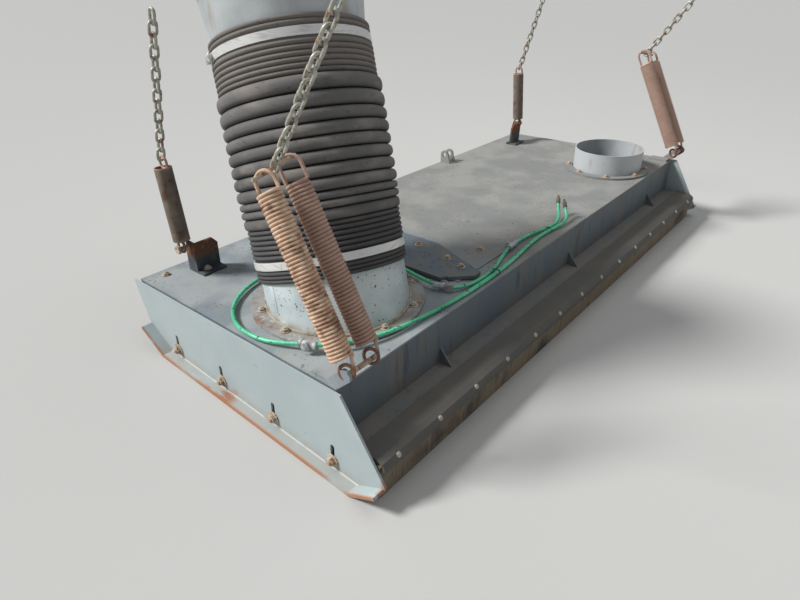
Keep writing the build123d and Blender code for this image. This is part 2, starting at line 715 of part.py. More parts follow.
# The green line lies on the deck: one run along the rear edge, and one round the spigot in three
# stretches, which come together under two ties and turn up at their ends
OUTER_LINE = (
    # X, Y, height of the tube's middle above the deck
    (990, 187, 24),
    (962, 215, 23),
    (908, 248, 20),
    (830, 275, 14),
    (725, 289, 9),
    (600, 302, 9),
    (480, 306, 9),
    (380, 304, 9),
    (290, 297, 9),
    (200, 285, 9),
    (110, 275, 9),
    (30, 276, 9),
    (-45, 286, 9),
    (-95, 280, 14),
    (-118, 262, 30),
    (-130, 246, 54),
)
INNER_LINES = (
    (
        (1003, 147, 18),
        (1034, 92, 12),
        (1048, 20, 9),
        (1040, -60, 9),
        (990, -140, 9),
        (905, -195, 9),
        (800, -216, 9),
        (690, -206, 9),
        (600, -160, 12),
        (548, -85, 24),
        (544, 0, 26),
        (560, 80, 24),
        (574, 150, 22),
        (576, 215, 18),
    ),
    (
        (558, 262, 14),
        (520, 285, 10),
        (460, 291, 9),
        (400, 288, 9),
        (340, 275, 9),
        (285, 257, 9),
        (235, 248, 13.5),
    ),
    (
        (190, 244, 13.5),
        (130, 240, 9),
        (75, 248, 9),
        (25, 261, 9),
        (-30, 268, 9),
        (-85, 256, 14),
        (-120, 232, 30),
        (-142, 216, 58),
    ),
)
finish(line_tube("line_outer", OUTER_LINE), "line_outer")
finish(Compound(children=[line_tube(f"line_inner {i}", route) for i, route in enumerate(INNER_LINES)]),
       "line_inner")

# Tees join the stretches end to end, each with a round button on its side
TEES = (
    # end of one stretch, start of the next
    (OUTER_LINE[0], INNER_LINES[0][0]),
    (INNER_LINES[0][-1], INNER_LINES[1][0]),
    (INNER_LINES[1][-1], INNER_LINES[2][0]),
)
tees = []
for start, end in TEES:
    a = at(start[0], start[1], deck_z(start[1]) + start[2])
    b = at(end[0], end[1], deck_z(end[1]) + end[2])
    along = (b - a).normalized()
    outwards = along.cross(Vector(deck_normal)).normalized()
    with BuildPart() as tee:
        with BuildSketch(Plane(origin=a + along * TEE_GAP, z_dir=along)):
            RegularPolygon(TEE_R, 8)
        extrude(amount=(b - a).length - 2 * TEE_GAP)
        with BuildSketch(Plane(origin=(a + b) / 2, z_dir=outwards)):
            RegularPolygon(TEE_R, 8)
        extrude(amount=TEE_R + 5)
    tees.append(tee.part)
finish(Compound(children=tees), "line_tees")
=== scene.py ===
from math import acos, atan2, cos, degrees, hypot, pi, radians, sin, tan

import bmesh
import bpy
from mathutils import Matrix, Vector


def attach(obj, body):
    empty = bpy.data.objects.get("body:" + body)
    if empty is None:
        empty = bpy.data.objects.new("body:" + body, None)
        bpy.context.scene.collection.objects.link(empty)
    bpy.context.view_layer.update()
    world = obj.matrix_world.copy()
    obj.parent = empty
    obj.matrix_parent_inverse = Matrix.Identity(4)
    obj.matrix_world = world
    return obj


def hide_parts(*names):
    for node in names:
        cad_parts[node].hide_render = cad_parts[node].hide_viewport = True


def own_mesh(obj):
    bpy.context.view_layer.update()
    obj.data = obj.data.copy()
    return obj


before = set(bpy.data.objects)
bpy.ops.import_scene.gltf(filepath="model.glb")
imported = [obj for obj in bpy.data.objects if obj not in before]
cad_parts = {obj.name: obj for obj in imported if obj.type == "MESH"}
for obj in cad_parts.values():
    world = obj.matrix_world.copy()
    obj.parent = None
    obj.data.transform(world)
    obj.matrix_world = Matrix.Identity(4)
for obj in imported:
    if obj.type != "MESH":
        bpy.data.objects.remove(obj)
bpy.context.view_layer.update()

# %% [markdown]
# The object is the suction pick-up head of a street sweeper truck: a low steel hood on two skid
# plates, with a corrugated rubber hose, extension springs, chains and a green air line. The frame
# gives every part at its true size and place, in metres, with +X to the truck's left and Z up. The
# lesson keeps the flat sheet parts as they are, and models by hand what has a finer shape: the hose,
# the springs, the chains, the bolts and the fittings.

MM = 0.001

# %% [markdown]
# The photograph was taken from behind and outside the head's left rear corner, a little above knee
# height, looking down at it. Rows of evenly spaced bolts gave the camera's place, turn and focal
# length, so the camera is built from the three directions that it gave.

# %% Camera
CAMERA_PLACE = (1.704, 1.037, 1.061)
CAMERA_RIGHT = Vector((-0.645, 0.7637, 0.0256))
CAMERA_UP = Vector((-0.3907, -0.3584, 0.8479))
CAMERA_BACK = Vector((0.6567, 0.5369, 0.5295))
bpy.ops.object.camera_add(location=CAMERA_PLACE)
camera = bpy.context.object
camera.rotation_euler = Matrix((CAMERA_RIGHT, CAMERA_UP, CAMERA_BACK)).transposed().to_euler()
camera.data.sensor_width = 36
camera.data.lens = 26.1
bpy.context.scene.camera = camera
print("camera at", CAMERA_PLACE, "lens", round(camera.data.lens, 1), "mm")

# %% [markdown]
# Light first, because every colour is judged in it. The photograph's sunlight comes over the truck's
# left side from ahead, so the skid plate, the deck's near end and the hose's left side are bright,
# and the rear wall lies in shade. A studio has the same balance from one distant lamp with a wide,
# soft edge on that side, with a pale world and a weak lamp overhead to fill the shade.

# %% Floor, world and lamps
bpy.ops.object.select_all(action="DESELECT")
bpy.ops.mesh.primitive_plane_add(size=60)
floor = bpy.context.object
floor.name = "studio_floor"

bpy.ops.object.light_add(type="SUN", location=(5.0, -5.15, 5.9))
key_lamp = bpy.context.object
key_lamp.name = "key_lamp"
key_lamp.data.energy = 4.2
key_lamp.data.angle = radians(14)
bpy.ops.object.light_add(type="AREA", location=(-0.6, 0.6, 3.6))
top_lamp = bpy.context.object
top_lamp.name = "top_lamp"
top_lamp.data.energy = 30
top_lamp.data.size = 3
LIT_POINT = Vector((0.4, 0.1, 0.2))
for lamp in (key_lamp, top_lamp):
    lamp.rotation_euler = (LIT_POINT - lamp.location).to_track_quat("-Z", "Y").to_euler()
world = bpy.data.worlds.new("studio_world")
world.use_nodes = True
world.node_tree.nodes["Background"].inputs["Color"].default_value = (0.86, 0.9, 0.95, 1)
world.node_tree.nodes["Background"].inputs["Strength"].default_value = 0.3
bpy.context.scene.world = world
bpy.context.scene.view_settings.view_transform = "Standard"
print("key lamp", round(key_lamp.data.energy, 2), "top lamp", round(top_lamp.data.energy, 2))

# %% [markdown]
# Every operator works on what is selected, so a few helpers keep that under control: one clears the
# selection, one selects faces or points by their place, and one writes a finished piece's place
# into its mesh, so that its object stands at the origin like the frame's own nodes.

# %% Helpers for modelling
def clear_selection():
    if bpy.context.object and bpy.context.object.mode != "OBJECT":
        bpy.ops.object.mode_set(mode="OBJECT")
    bpy.ops.object.select_all(action="DESELECT")


def select_only(piece):
    clear_selection()
    piece.select_set(True)
    bpy.context.view_layer.objects.active = piece


def apply_place(piece):
    select_only(piece)
    bpy.ops.object.transform_apply(location=True, rotation=True, scale=True)


def start(name, add_primitive, **settings):
    """Adds a primitive, writes its place into its mesh and opens it in edit mode, all selected."""
    clear_selection()
    add_primitive(**settings)
    piece = bpy.context.object
    piece.name = piece.data.name = name
    apply_place(piece)
    bpy.ops.object.mode_set(mode="EDIT")
    bpy.ops.mesh.select_mode(type="VERT")
    bpy.ops.mesh.select_all(action="SELECT")
    return piece


def pick(piece, test, kind="faces"):
    """In edit mode, selects the faces, edges or verts whose middle passes a test."""
    bpy.ops.mesh.select_mode(type={"faces": "FACE", "edges": "EDGE", "verts": "VERT"}[kind])
    bpy.ops.mesh.select_all(action="DESELECT")
    mesh = bmesh.from_edit_mesh(piece.data)
    for element in getattr(mesh, kind):
        if kind == "verts":
            middle = element.co
        elif kind == "edges":
            middle = (element.verts[0].co + element.verts[1].co) / 2
        else:
            middle = element.calc_center_median()
        if test(middle):
            element.select_set(True)
    bmesh.update_edit_mesh(piece.data)


def extrude(x=0.0, y=0.0, z=0.0):
    bpy.ops.mesh.extrude_region_move(TRANSFORM_OT_translate={"value": (x, y, z)})


def swing(centre, axis, angle, steps):
    """Spins the selected section round an axis, by the right hand's rule, and leaves its end selected."""
    bpy.ops.mesh.spin(steps=steps, angle=-radians(angle), center=centre, axis=axis)


def close_shape(piece, smooth_angle=35):
    """Merges doubles, turns the faces outwards and smooths what isn't a sharp edge."""
    bpy.ops.mesh.select_all(action="SELECT")
    bpy.ops.mesh.remove_doubles(threshold=0.00002)
    bpy.ops.mesh.normals_make_consistent(inside=False)
    select_only(piece)
    bpy.ops.object.shade_smooth_by_angle(angle=radians(smooth_angle))


def thicken(piece, thickness_mm):
    """Gives a sheet a thickness and closes its shape."""
    select_only(piece)
    wall = piece.modifiers.new("wall", "SOLIDIFY")
    wall.thickness = thickness_mm * MM
    wall.offset = 1
    bpy.ops.object.modifier_apply(modifier=wall.name)
    bpy.ops.object.mode_set(mode="EDIT")
    close_shape(piece)


def copy_to(piece, name, origin, x_dir, z_dir):
    """A copy, with its own mesh, of a piece that was modelled upright at the origin."""
    twin = piece.copy()
    twin.data = piece.data.copy()
    twin.name = twin.data.name = name
    bpy.context.collection.objects.link(twin)
    z = Vector(z_dir).normalized()
    x = Vector(x_dir)
    x = (x - x.dot(z) * z).normalized()
    twin.matrix_world = Matrix.Translation(origin) @ Matrix((x, z.cross(x), z)).transposed().to_4x4()
    apply_place(twin)
    return twin


def join(pieces, name):
    select_only(pieces[0])
    for piece in pieces:
        piece.select_set(True)
    bpy.ops.object.join()
    whole = bpy.context.object
    whole.name = whole.data.name = name
    return whole


def remove(piece):
    bpy.data.objects.remove(piece, do_unlink=True)


def triangles(piece):
    return sum(len(face.vertices) - 2 for face in piece.data.polygons)


# %% [markdown]
# Most pieces are placed either on the sloping deck or along the leaning hose, so both get a helper
# that turns a table's millimetres into a point of the frame.

# %% Places on the deck and round the hose
SLOPE = radians(3.3)
MIDDLE_Y = 20
MIDDLE_HEIGHT = 223.5
DECK_UP = Vector((0, -sin(SLOPE), cos(SLOPE)))


def on_deck(x, depth, lift=0.0):
    """A point above the deck: X, depth behind the middle between the flaps, and height."""
    return Vector((x, depth + MIDDLE_Y, MIDDLE_HEIGHT + depth * tan(SLOPE) + lift)) * MM


SUCTION_PLACE = (774, 43)
BLAST_PLACE = (-765, 138)
hose_foot = on_deck(*SUCTION_PLACE)
hose_up = Vector((-0.156, -0.396, 1)).normalized()
hose_x = (Vector((1, 0, 0)) - hose_up.x * hose_up).normalized()
hose_y = hose_up.cross(hose_x)


def round_hose(radius, angle, distance):
    """A point round the hose's axis, and the direction outwards there."""
    outwards = hose_x * cos(radians(angle)) + hose_y * sin(radians(angle))
    return hose_foot + hose_up * distance * MM + outwards * radius * MM, outwards


print("hose axis", [round(v, 3) for v in hose_up])

# %% [markdown]
# The suction hose is black rubber, moulded in fat rolls that let it bend, with finer beads near the
# clamps and a plain seat under each. A lathe would make this shape, and so does Spin: the wall's
# section is drawn point by point from one vertex, then spun round the axis.

# %% The hose's section
HOSE_BORE = 191.5
HOSE_START = 86
HOSE_ZONES = (
    # ribs, pitch along the axis, root radius, crest radius, shape of one rib
    (3, 10, 196, 200, "bead"),
    (1, 28, 197.5, 197.5, "seat"),
    (6, 12.5, 195.5, 201, "bead"),
    (1, 28, 195.5, 205, "roll"),
    (2, 20, 195, 207, "roll"),
    (6, 30.7, 194, 209, "roll"),
    (2, 37, 194, 209, "roll"),
    (6, 12.5, 195.5, 201, "bead"),
    (1, 28, 197.5, 197.5, "seat"),
    (2, 11, 196, 200, "bead"),
)
RIB_SHAPES = {
    # share of the pitch, share of the height
    "seat": ((0, 0), (0.5, 0)),
    "bead": ((0, 0), (0.12, 0.5), (0.32, 0.92), (0.5, 1), (0.68, 0.92), (0.88, 0.5)),
    "roll": ((0, 0), (0.035, 0.36), (0.1, 0.64), (0.2, 0.85), (0.34, 0.97), (0.5, 1), (0.66, 0.97),
             (0.8, 0.85), (0.9, 0.64), (0.965, 0.36)),
}
hose_section = [(HOSE_BORE, HOSE_START)]
zone_start = HOSE_START
for ribs, pitch, root, crest, shape in HOSE_ZONES:
    for rib in range(ribs):
        for along, rise in RIB_SHAPES[shape]:
            hose_section.append((root + rise * (crest - root), zone_start + (rib + along) * pitch))
    zone_start += ribs * pitch
hose_section += [(196, zone_start), (HOSE_BORE, zone_start)]
print("hose section", len(hose_section), "points, ends at", round(zone_start, 1), "mm")

# %% The hose, drawn and spun
LATHE_STEPS = 96
CREST_FROM, CREST_RISE = 195, 13


def lathe(name, section, smooth_angle):
    """Draws a section of (radius, height) points in millimetres, closes it and spins it all round."""
    piece = start(name, bpy.ops.mesh.primitive_plane_add, size=0.01)
    bpy.ops.mesh.merge(type="CENTER")
    bpy.ops.transform.translate(value=(section[0][0] * MM, 0, section[0][1] * MM))
    for (r, s), (next_r, next_s) in zip(section, section[1:]):
        extrude(x=(next_r - r) * MM, z=(next_s - s) * MM)
    ends = [Vector((r, 0, s)) * MM for r, s in (section[0], section[-1])]
    pick(piece, lambda p: min((p - end).length for end in ends) < 0.00001, "verts")
    bpy.ops.mesh.edge_face_add()
    bpy.ops.mesh.select_all(action="SELECT")
    swing((0, 0, 0), (0, 0, 1), 360, LATHE_STEPS)
    close_shape(piece, smooth_angle)
    return piece


hose_wall = lathe("hose_wall", hose_section, 50)
crest_share = hose_wall.data.attributes.new("crest", "FLOAT", "POINT")
crest_share.data.foreach_set("value", [
    min(max((hypot(*v.co.xy) / MM - CREST_FROM) / CREST_RISE, 0), 1) for v in hose_wall.data.vertices])
rubber_hose = copy_to(hose_wall, "rubber_hose", hose_foot, (1, 0, 0), hose_up)
remove(hose_wall)
print("hose triangles", triangles(rubber_hose))

# %% [markdown]
# The duct above the hose is rolled sheet on the same axis, so the same lathe makes it: a stub that
# the hose is clamped on, and a slow flare. The stub ends under the clamp, so that the hose can still
# bend when the head is lifted.

# %% The duct
DUCT_SECTION = ((191, 630), (191, 676), (208, 820), (204, 820), (187, 676), (187, 630))
duct_wall = lathe("duct_wall", DUCT_SECTION, 35)
rolled_duct = copy_to(duct_wall, "rolled_duct", hose_foot, (1, 0, 0), hose_up)
remove(duct_wall)
print("duct triangles", triangles(rolled_duct))

# %% [markdown]
# A band clamp holds each end of the hose. The frame has the bands themselves. Each is drawn tight by
# a T-bolt through two round eyes, and the lower band runs on in a plain loose tail. Rods of different
# sizes make up the T-bolt, so a small helper turns and bevels one.

# %% A rod with bevelled ends
def rod(name, radius, length, place=(0, 0, 0), turn=(0, 0, 0), corners=20, bevel=0.6):
    """A straight rod or hexagon, in millimetres, with its two end rims bevelled."""
    piece = start(name, bpy.ops.mesh.primitive_cylinder_add, vertices=corners, radius=radius * MM,
                  depth=length * MM, location=[v * MM for v in place], rotation=turn)
    axis = Matrix.Rotation(turn[2], 3, "Z") @ Matrix.Rotation(turn[1], 3, "Y") @ Matrix.Rotation(
        turn[0], 3, "X") @ Vector((0, 0, 1))
    centre = Vector(place) * MM
    pick(piece, lambda p: abs(abs((p - centre).dot(axis)) - length * MM / 2) < 0.00001, "edges")
    bpy.ops.mesh.bevel(offset=bevel * MM, segments=2, affect="EDGES")
    close_shape(piece)
    return piece


# %% The T-bolt
ALONG_Y = (pi / 2, 0, 0)
BAND_R = 201
t_bolt_parts = [
    rod("t_bolt_shank", 2.8, 56, (6, 3, 0), ALONG_Y),
    rod("t_bolt_eye_a", 5.2, 19, (4.5, -14, 0)),
    rod("t_bolt_eye_b", 5.2, 19, (4.5, 12, 0)),
    rod("t_bolt_nut", 5.8, 6, (6, 22, 0), ALONG_Y, corners=6),
    rod("t_bolt_cross", 3.6, 17, (6, -22, 0)),
]
t_bolt = join(t_bolt_parts, "t_bolt")
CLAMP_PLACES = (
    # name, angle round the hose, distance up it, body
    ("upper_clamp_bolt", -22, 634.2, "duct"),
    ("lower_clamp_bolt", 205, 130, "head"),
)
clamp_bolts = []
for name, angle, distance, body in CLAMP_PLACES:
    place, outwards = round_hose(BAND_R, angle, distance)
    clamp_bolts.append((copy_to(t_bolt, name, place, outwards, hose_up), body))
remove(t_bolt)
print("clamp bolts", [piece.name for piece, body in clamp_bolts])

# %% The tail of the lower band
TAIL_LOW = 123
TAIL_WIDTH = 14
TAIL_SWEEP = 58
TAIL_STEPS = 34
TAIL_START = -44
TAIL_THICK = 0.8
tail = start("tail", bpy.ops.mesh.primitive_plane_add, size=0.01)
bpy.ops.mesh.merge(type="CENTER")
bpy.ops.transform.translate(value=(BAND_R * MM, 0, TAIL_LOW * MM))
extrude(z=TAIL_WIDTH * MM)
bpy.ops.mesh.select_all(action="SELECT")
swing((0, 0, 0), (0, 0, 1), TAIL_SWEEP, TAIL_STEPS)
thicken(tail, TAIL_THICK)
tail_x = hose_x * cos(radians(TAIL_START)) + hose_y * sin(radians(TAIL_START))
clamp_tail = copy_to(tail, "lower_clamp_tail", hose_foot, tail_x, hose_up)
remove(tail)
print("tail triangles", triangles(clamp_tail))

# %% [markdown]
# The extension springs are close coils of round wire. The Screw modifier winds one from a small
# circle, and Spin bends the circle at each end into a hook, as the winding machine does: a quarter
# turn off the coil, a straight leg, and an eye that is nearly closed. The rear springs have a tall
# loop at the top.

# %% Winding a spring
WIRE_BEND = 5
COIL_STEPS = 22
WIRE_CORNERS = 8
EYE_SWEEP = 350


def wire_end(name, wire_r, coil_r, height):
    """The wire's round section at one end of a coil, on the coil's back side."""
    return start(name, bpy.ops.mesh.primitive_circle_add, vertices=WIRE_CORNERS, radius=wire_r * MM,
                 location=(0, coil_r * MM, height * MM), rotation=(0, pi / 2, 0))


def hook(name, wire_r, coil_r, height, eye_height, eye_r):
    """A bend off the coil, a leg and an eye, which lies above or below the coil's end."""
    side = 1 if eye_height > height else -1
    piece = wire_end(name, wire_r, coil_r, height)
    swing((0, coil_r * MM, (height + side * WIRE_BEND) * MM), (0, 1, 0), 90, 5)
    bent = height + side * WIRE_BEND
    reach = hypot(coil_r, eye_height - bent)
    leaves_at = degrees(atan2(abs(eye_height - bent), coil_r) - acos(eye_r / reach))
    touch_y = eye_r * cos(radians(leaves_at))
    touch_z = eye_height - side * eye_r * sin(radians(leaves_at))
    extrude(y=(touch_y - coil_r) * MM, z=(touch_z - bent) * MM)
    swing((0, 0, eye_height * MM), (1, 0, 0), side * (EYE_SWEEP + leaves_at), 34)
    bpy.ops.mesh.edge_face_add()
    close_shape(piece)
    return piece


def tall_loop(name, wire_r, coil_r, height, top):
    """A bend off the coil, and a loop as wide as the coil up to a height."""
    piece = wire_end(name, wire_r, coil_r, height)
    swing((0, coil_r * MM, (height + WIRE_BEND) * MM), (0, 1, 0), 90, 5)
    extrude(z=(top - coil_r - height - WIRE_BEND) * MM)
    swing((0, 0, (top - coil_r) * MM), (1, 0, 0), 180, 18)
    extrude(z=(height + 4 - top + coil_r) * MM)
    bpy.ops.mesh.edge_face_add()
    close_shape(piece)
    return piece


def wind(name, wire_r, coil_r, low, high, turns):
    piece = wire_end(name, wire_r, coil_r, low)
    select_only(piece)
    coil = piece.modifiers.new("coil", "SCREW")
    coil.axis = "Z"
    coil.screw_offset = (high - low) / turns * MM
    coil.iterations = turns
    coil.steps = coil.render_steps = COIL_STEPS
    bpy.ops.object.modifier_apply(modifier=coil.name)
    bpy.ops.object.mode_set(mode="EDIT")
    close_shape(piece)
    return piece


# %% The kinds of spring
REAR_WIRE, REAR_COIL, REAR_TURNS = 4.1, 22.9, 44
REAR_COIL_LOW, REAR_COIL_HIGH = 34.7, 398.4
FRONT_WIRE, FRONT_COIL, FRONT_TURNS = 3.6, 15.3, 24
FRONT_COIL_LOW, FRONT_COIL_HIGH = 34.4, 219.5
PIN_EYE, FRONT_EYE, EYE_R = 6.1, 248, 17
LOOP_TOPS = (442, 457)
LOOP_TURNS = (0, 25)


def rear_spring(loop_top, loop_turn):
    """A rear spring, up to the middle of the wire at the top of its loop, which is turned a little."""
    level_loop = tall_loop("rear_loop", REAR_WIRE, REAR_COIL, REAR_COIL_HIGH, loop_top)
    a = radians(loop_turn)
    turned_loop = copy_to(level_loop, "turned_loop", (0, 0, 0), (cos(a), sin(a), 0), (0, 0, 1))
    remove(level_loop)
    return join([
        wind("rear_coil", REAR_WIRE, REAR_COIL, REAR_COIL_LOW, REAR_COIL_HIGH, REAR_TURNS),
        hook("rear_hook", REAR_WIRE, REAR_COIL, REAR_COIL_LOW, PIN_EYE, EYE_R),
        turned_loop,
    ], "rear_spring")


outer_spring, inner_spring = [rear_spring(top, turn) for top, turn in zip(LOOP_TOPS, LOOP_TURNS)]
front_spring = join([
    wind("front_coil", FRONT_WIRE, FRONT_COIL, FRONT_COIL_LOW, FRONT_COIL_HIGH, FRONT_TURNS),
    hook("front_hook", FRONT_WIRE, FRONT_COIL, FRONT_COIL_LOW, PIN_EYE, EYE_R),
    hook("front_eye", FRONT_WIRE, FRONT_COIL, FRONT_COIL_HIGH, FRONT_EYE, EYE_R),
], "front_spring")
print("triangles", triangles(outer_spring), triangles(front_spring))


# %% Where springs and chains hang
def lean_direction(degrees_forward):
    a = radians(degrees_forward)
    return Vector((0, -sin(a), cos(a)))


FRONT_X, REAR_X, REAR_SPREAD = 945, 1007, 37
FRONT_PIN = Vector((0, -398, 283)) * MM
REAR_PIN = Vector((0, 367, 293)) * MM
front_up, rear_up = lean_direction(7.6), lean_direction(31.5)
PAIR_TURN = radians(25)
SIDES = (("left", 1), ("right", -1))
springs = {}
for side, sign in SIDES:
    pin = FRONT_PIN + Vector((sign * FRONT_X * MM, 0, 0))
    springs[f"front_spring_{side}"] = copy_to(
        front_spring, f"wound_front_spring_{side}", pin, (1, 0, 0), front_up)
    across = rear_up.cross(Vector((1, 0, 0)))
    turned = Vector((cos(PAIR_TURN), 0, 0)) + across * sign * sin(PAIR_TURN)
    pair = [copy_to(model, "rear_spring_of_pair",
                    REAR_PIN + Vector((sign * (REAR_X + offset) * MM, 0, 0)), turned, rear_up)
            for model, offset in ((outer_spring, REAR_SPREAD), (inner_spring, -REAR_SPREAD))]
    springs[f"rear_springs_{side}"] = join(pair, f"wound_rear_springs_{side}")
for model in (outer_spring, inner_spring, front_spring):
    remove(model)
print("springs", list(springs))

# %% [markdown]
# The two rear springs hang on one flat bar, which goes through both loops. It has dropped on its
# outer side, where the spring has stretched less, so it is modelled level and turned a little.

# %% The toggle bars
TOGGLE_REACH = 441
TOGGLE_TILT = 11.5
TOGGLE_HALF, TOGGLE_THICK, TOGGLE_WIDTH = 63, 5, 8
toggle = start("toggle", bpy.ops.mesh.primitive_cube_add, size=1,
               scale=(2 * TOGGLE_HALF * MM, TOGGLE_THICK * MM, TOGGLE_WIDTH * MM))
pick(toggle, lambda p: abs(p.x) > (TOGGLE_HALF - 0.1) * MM and abs(p.y) < 0.1 * MM, "edges")
bpy.ops.mesh.bevel(offset=3 * MM, segments=4, affect="EDGES")
bpy.ops.mesh.select_all(action="SELECT")
bpy.ops.mesh.select_mode(type="EDGE")
bpy.ops.mesh.edges_select_sharp(sharpness=radians(60))
bpy.ops.mesh.bevel(offset=0.8 * MM, segments=2, affect="EDGES")
close_shape(toggle)
toggles = {}
for side, sign in SIDES:
    tilt = radians(TOGGLE_TILT) * sign
    bar_x = Vector((cos(tilt), 0, 0)) - rear_up * sin(tilt)
    bar_z = rear_up * cos(tilt) + Vector((sin(tilt), 0, 0))
    middle = REAR_PIN + Vector((sign * REAR_X * MM, 0, 0)) + rear_up * TOGGLE_REACH * MM
    toggles[side] = copy_to(toggle, f"flat_toggle_{side}", middle, bar_x, bar_z)
remove(toggle)
print("toggle bars", {side: triangles(piece) for side, piece in toggles.items()})

# %% [markdown]
# Chain is welded short-link chain, galvanised. One link is the round bar bent into a long ring: two
# half turns of Spin with straight runs between. The links then hang in a row, each turned a quarter
# from the one before.

# %% One link
LINK_BAR_R = 3.7
LINK_SIDE = 9.5
LINK_HALF = 17.25
LINK_PITCH = 27
straight = LINK_HALF - LINK_SIDE
link = start("chain_link", bpy.ops.mesh.primitive_circle_add, vertices=10, radius=LINK_BAR_R * MM,
             location=(-LINK_SIDE * MM, 0, -straight * MM))
extrude(z=2 * straight * MM)
swing((0, 0, straight * MM), (0, 1, 0), 180, 12)
extrude(z=-2 * straight * MM)
swing((0, 0, -straight * MM), (0, 1, 0), 180, 12)
close_shape(link, 60)
print("triangles of one link", triangles(link))

# %% Four chains
CHAINS = (
    # name, X, pin, direction of the spring, foot's distance up it, lean forward, start from the
    # foot, whether the first link lies across, links
    ("front_chain", FRONT_X, FRONT_PIN, front_up, FRONT_EYE, -13.8, 11.85, True, 14),
    ("rear_chain", REAR_X, REAR_PIN, rear_up, TOGGLE_REACH, -31.8, -5.3, False, 14),
)
chains = {}
for name, x, pin, spring_up, reach, lean, first, first_across, count in CHAINS:
    for side, sign in SIDES:
        foot = pin + Vector((sign * x * MM, 0, 0)) + spring_up * reach * MM
        chain_up = lean_direction(lean)
        row = []
        for i in range(count):
            across = Vector((1, 0, 0))
            if (i % 2 == 0) != first_across:
                across = chain_up.cross(across)
            middle = foot + chain_up * (first + (i + 0.5) * LINK_PITCH) * MM
            row.append(copy_to(link, "link_of_chain", middle, across, chain_up))
        chains[f"{name}_{side}"] = join(row, f"welded_{name}_{side}")
remove(link)
print("chains", {name: triangles(piece) for name, piece in chains.items()})

# %% [markdown]
# Bolts. The skid plates hang on hexagon bolts with wide washers, each flange has a ring of smaller
# ones, and the flap strips have round-headed carriage bolts. Each kind is modelled once, from
# bevelled cylinders or from a disc drawn up ring by ring, and then copied to its places.

# %% One hexagon bolt and one carriage bolt
def hex_bolt(name, washer_r, washer_t, head_r, head_t, thread_r, thread_t, shank=0):
    """A bolt along Z, its washer's underside at zero: washer, hexagon and the thread's end."""
    parts = [
        rod("washer", washer_r, washer_t, (0, 0, washer_t / 2), corners=28, bevel=0.5),
        rod("hexagon", head_r, head_t, (0, 0, washer_t + head_t / 2), corners=6, bevel=1.1),
        rod("thread", thread_r, thread_t + shank + washer_t + head_t,
            (0, 0, (washer_t + head_t + thread_t - shank) / 2), corners=14, bevel=0.9),
    ]
    return join(parts, name)


def carriage_bolt(name, radius, height):
    """A domed head, drawn up ring by ring from a disc."""
    piece = start(name, bpy.ops.mesh.primitive_circle_add, vertices=18, radius=radius * MM,
                  fill_type="NGON")
    for share in (0.94, 0.8, 0.55):
        extrude(z=height / 3 * MM)
        bpy.ops.transform.resize(value=(share, share, 1))
    close_shape(piece, 60)
    return piece


def set_bolts(name, model, places):
    """Copies a bolt to (point, direction outwards) places and joins the copies."""
    copies = [copy_to(model, "bolt_of_row", point, Vector((0.3, 0.2, 0.1)).cross(direction), direction)
              for point, direction in places]
    return join(copies, name)


# %% Bolts of the skid plates
SLOT_DEPTHS = (-325, -116, 99.5, 310)
SLOT_HEIGHT = 32
SKID_FACE_X = 1067
skid_bolt = hex_bolt("skid_bolt", 18.5, 3, 11.5, 9, 6, 4, shank=22)
skid_bolts = {}
for side, sign in SIDES:
    skid_bolts[side] = set_bolts(f"slot_bolts_{side}", skid_bolt, [
        (Vector((sign * SKID_FACE_X, depth + MIDDLE_Y, SLOT_HEIGHT)) * MM, Vector((sign, 0, 0)))
        for depth in SLOT_DEPTHS])
remove(skid_bolt)
print("skid bolts", {side: triangles(piece) for side, piece in skid_bolts.items()})

# %% Bolts of the two flanges
FLANGE_TOP = 8.3
BOLT_RINGS = (
    # name, middle, radius of the ring, bolts, angle of the first in degrees
    ("flange_bolts", SUCTION_PLACE, 208, 10, -30),
    ("blast_flange_bolts", BLAST_PLACE, 158, 8, 22.5),
)
flange_bolt = hex_bolt("flange_bolt", 13, 2, 9.5, 6, 5, 3)
deck_back = DECK_UP.cross(Vector((1, 0, 0)))
bolt_rings = []
for name, middle, ring_r, count, first_angle in BOLT_RINGS:
    places = []
    for i in range(count):
        a = radians(first_angle + 360 * i / count)
        outwards = Vector((cos(a), 0, 0)) + deck_back * sin(a)
        places.append((on_deck(*middle, FLANGE_TOP) + outwards * ring_r * MM, DECK_UP))
    bolt_rings.append(set_bolts(name, flange_bolt, places))
print("flange bolts", [count for name, middle, ring_r, count, first_angle in BOLT_RINGS])

# %% Bolts of the flap strips and of the deck
STRIP_BOLTS = 14
STRIP_FIRST_X = 1002
STRIP_PITCH = 152.4
strip_bolt = carriage_bolt("strip_bolt", 7, 3.6)
facet_out = Vector((0, 10, 7)).normalized()
strip_bolts = {
    "rear": set_bolts("rear_strip_bolts", strip_bolt, [
        (Vector((STRIP_FIRST_X - STRIP_PITCH * i, 473.6, 100)) * MM, facet_out)
        for i in range(STRIP_BOLTS)]),
    "front": set_bolts("front_strip_bolts", strip_bolt, [
        (Vector((STRIP_FIRST_X - STRIP_PITCH * i, -437.7, 80)) * MM, Vector((0, -1, 0)))
        for i in range(STRIP_BOLTS)]),
}
remove(strip_bolt)
DECK_BOLTS = (
    # X, depth, height of the seat above the deck
    (994, -460, 0), (392, 15, 14.5), (417, 143, 14.5), (438, 208, 14.5), (284, 174, 4.2),
    (900, -385, 8.2), (-994, -460, 0),
)
deck_bolts = set_bolts("deck_bolts", flange_bolt, [
    (on_deck(x, depth, lift), DECK_UP) for x, depth, lift in DECK_BOLTS])
remove(flange_bolt)
print("deck bolts", len(DECK_BOLTS))

# %% [markdown]
# The green line is nylon air tubing. It is a smooth NURBS curve through the route that the frame's
# solids follow, with a round bevel, in four stretches that meet in push-in tees. Where the two runs
# lie side by side they are tied together, and their free ends end in collars.

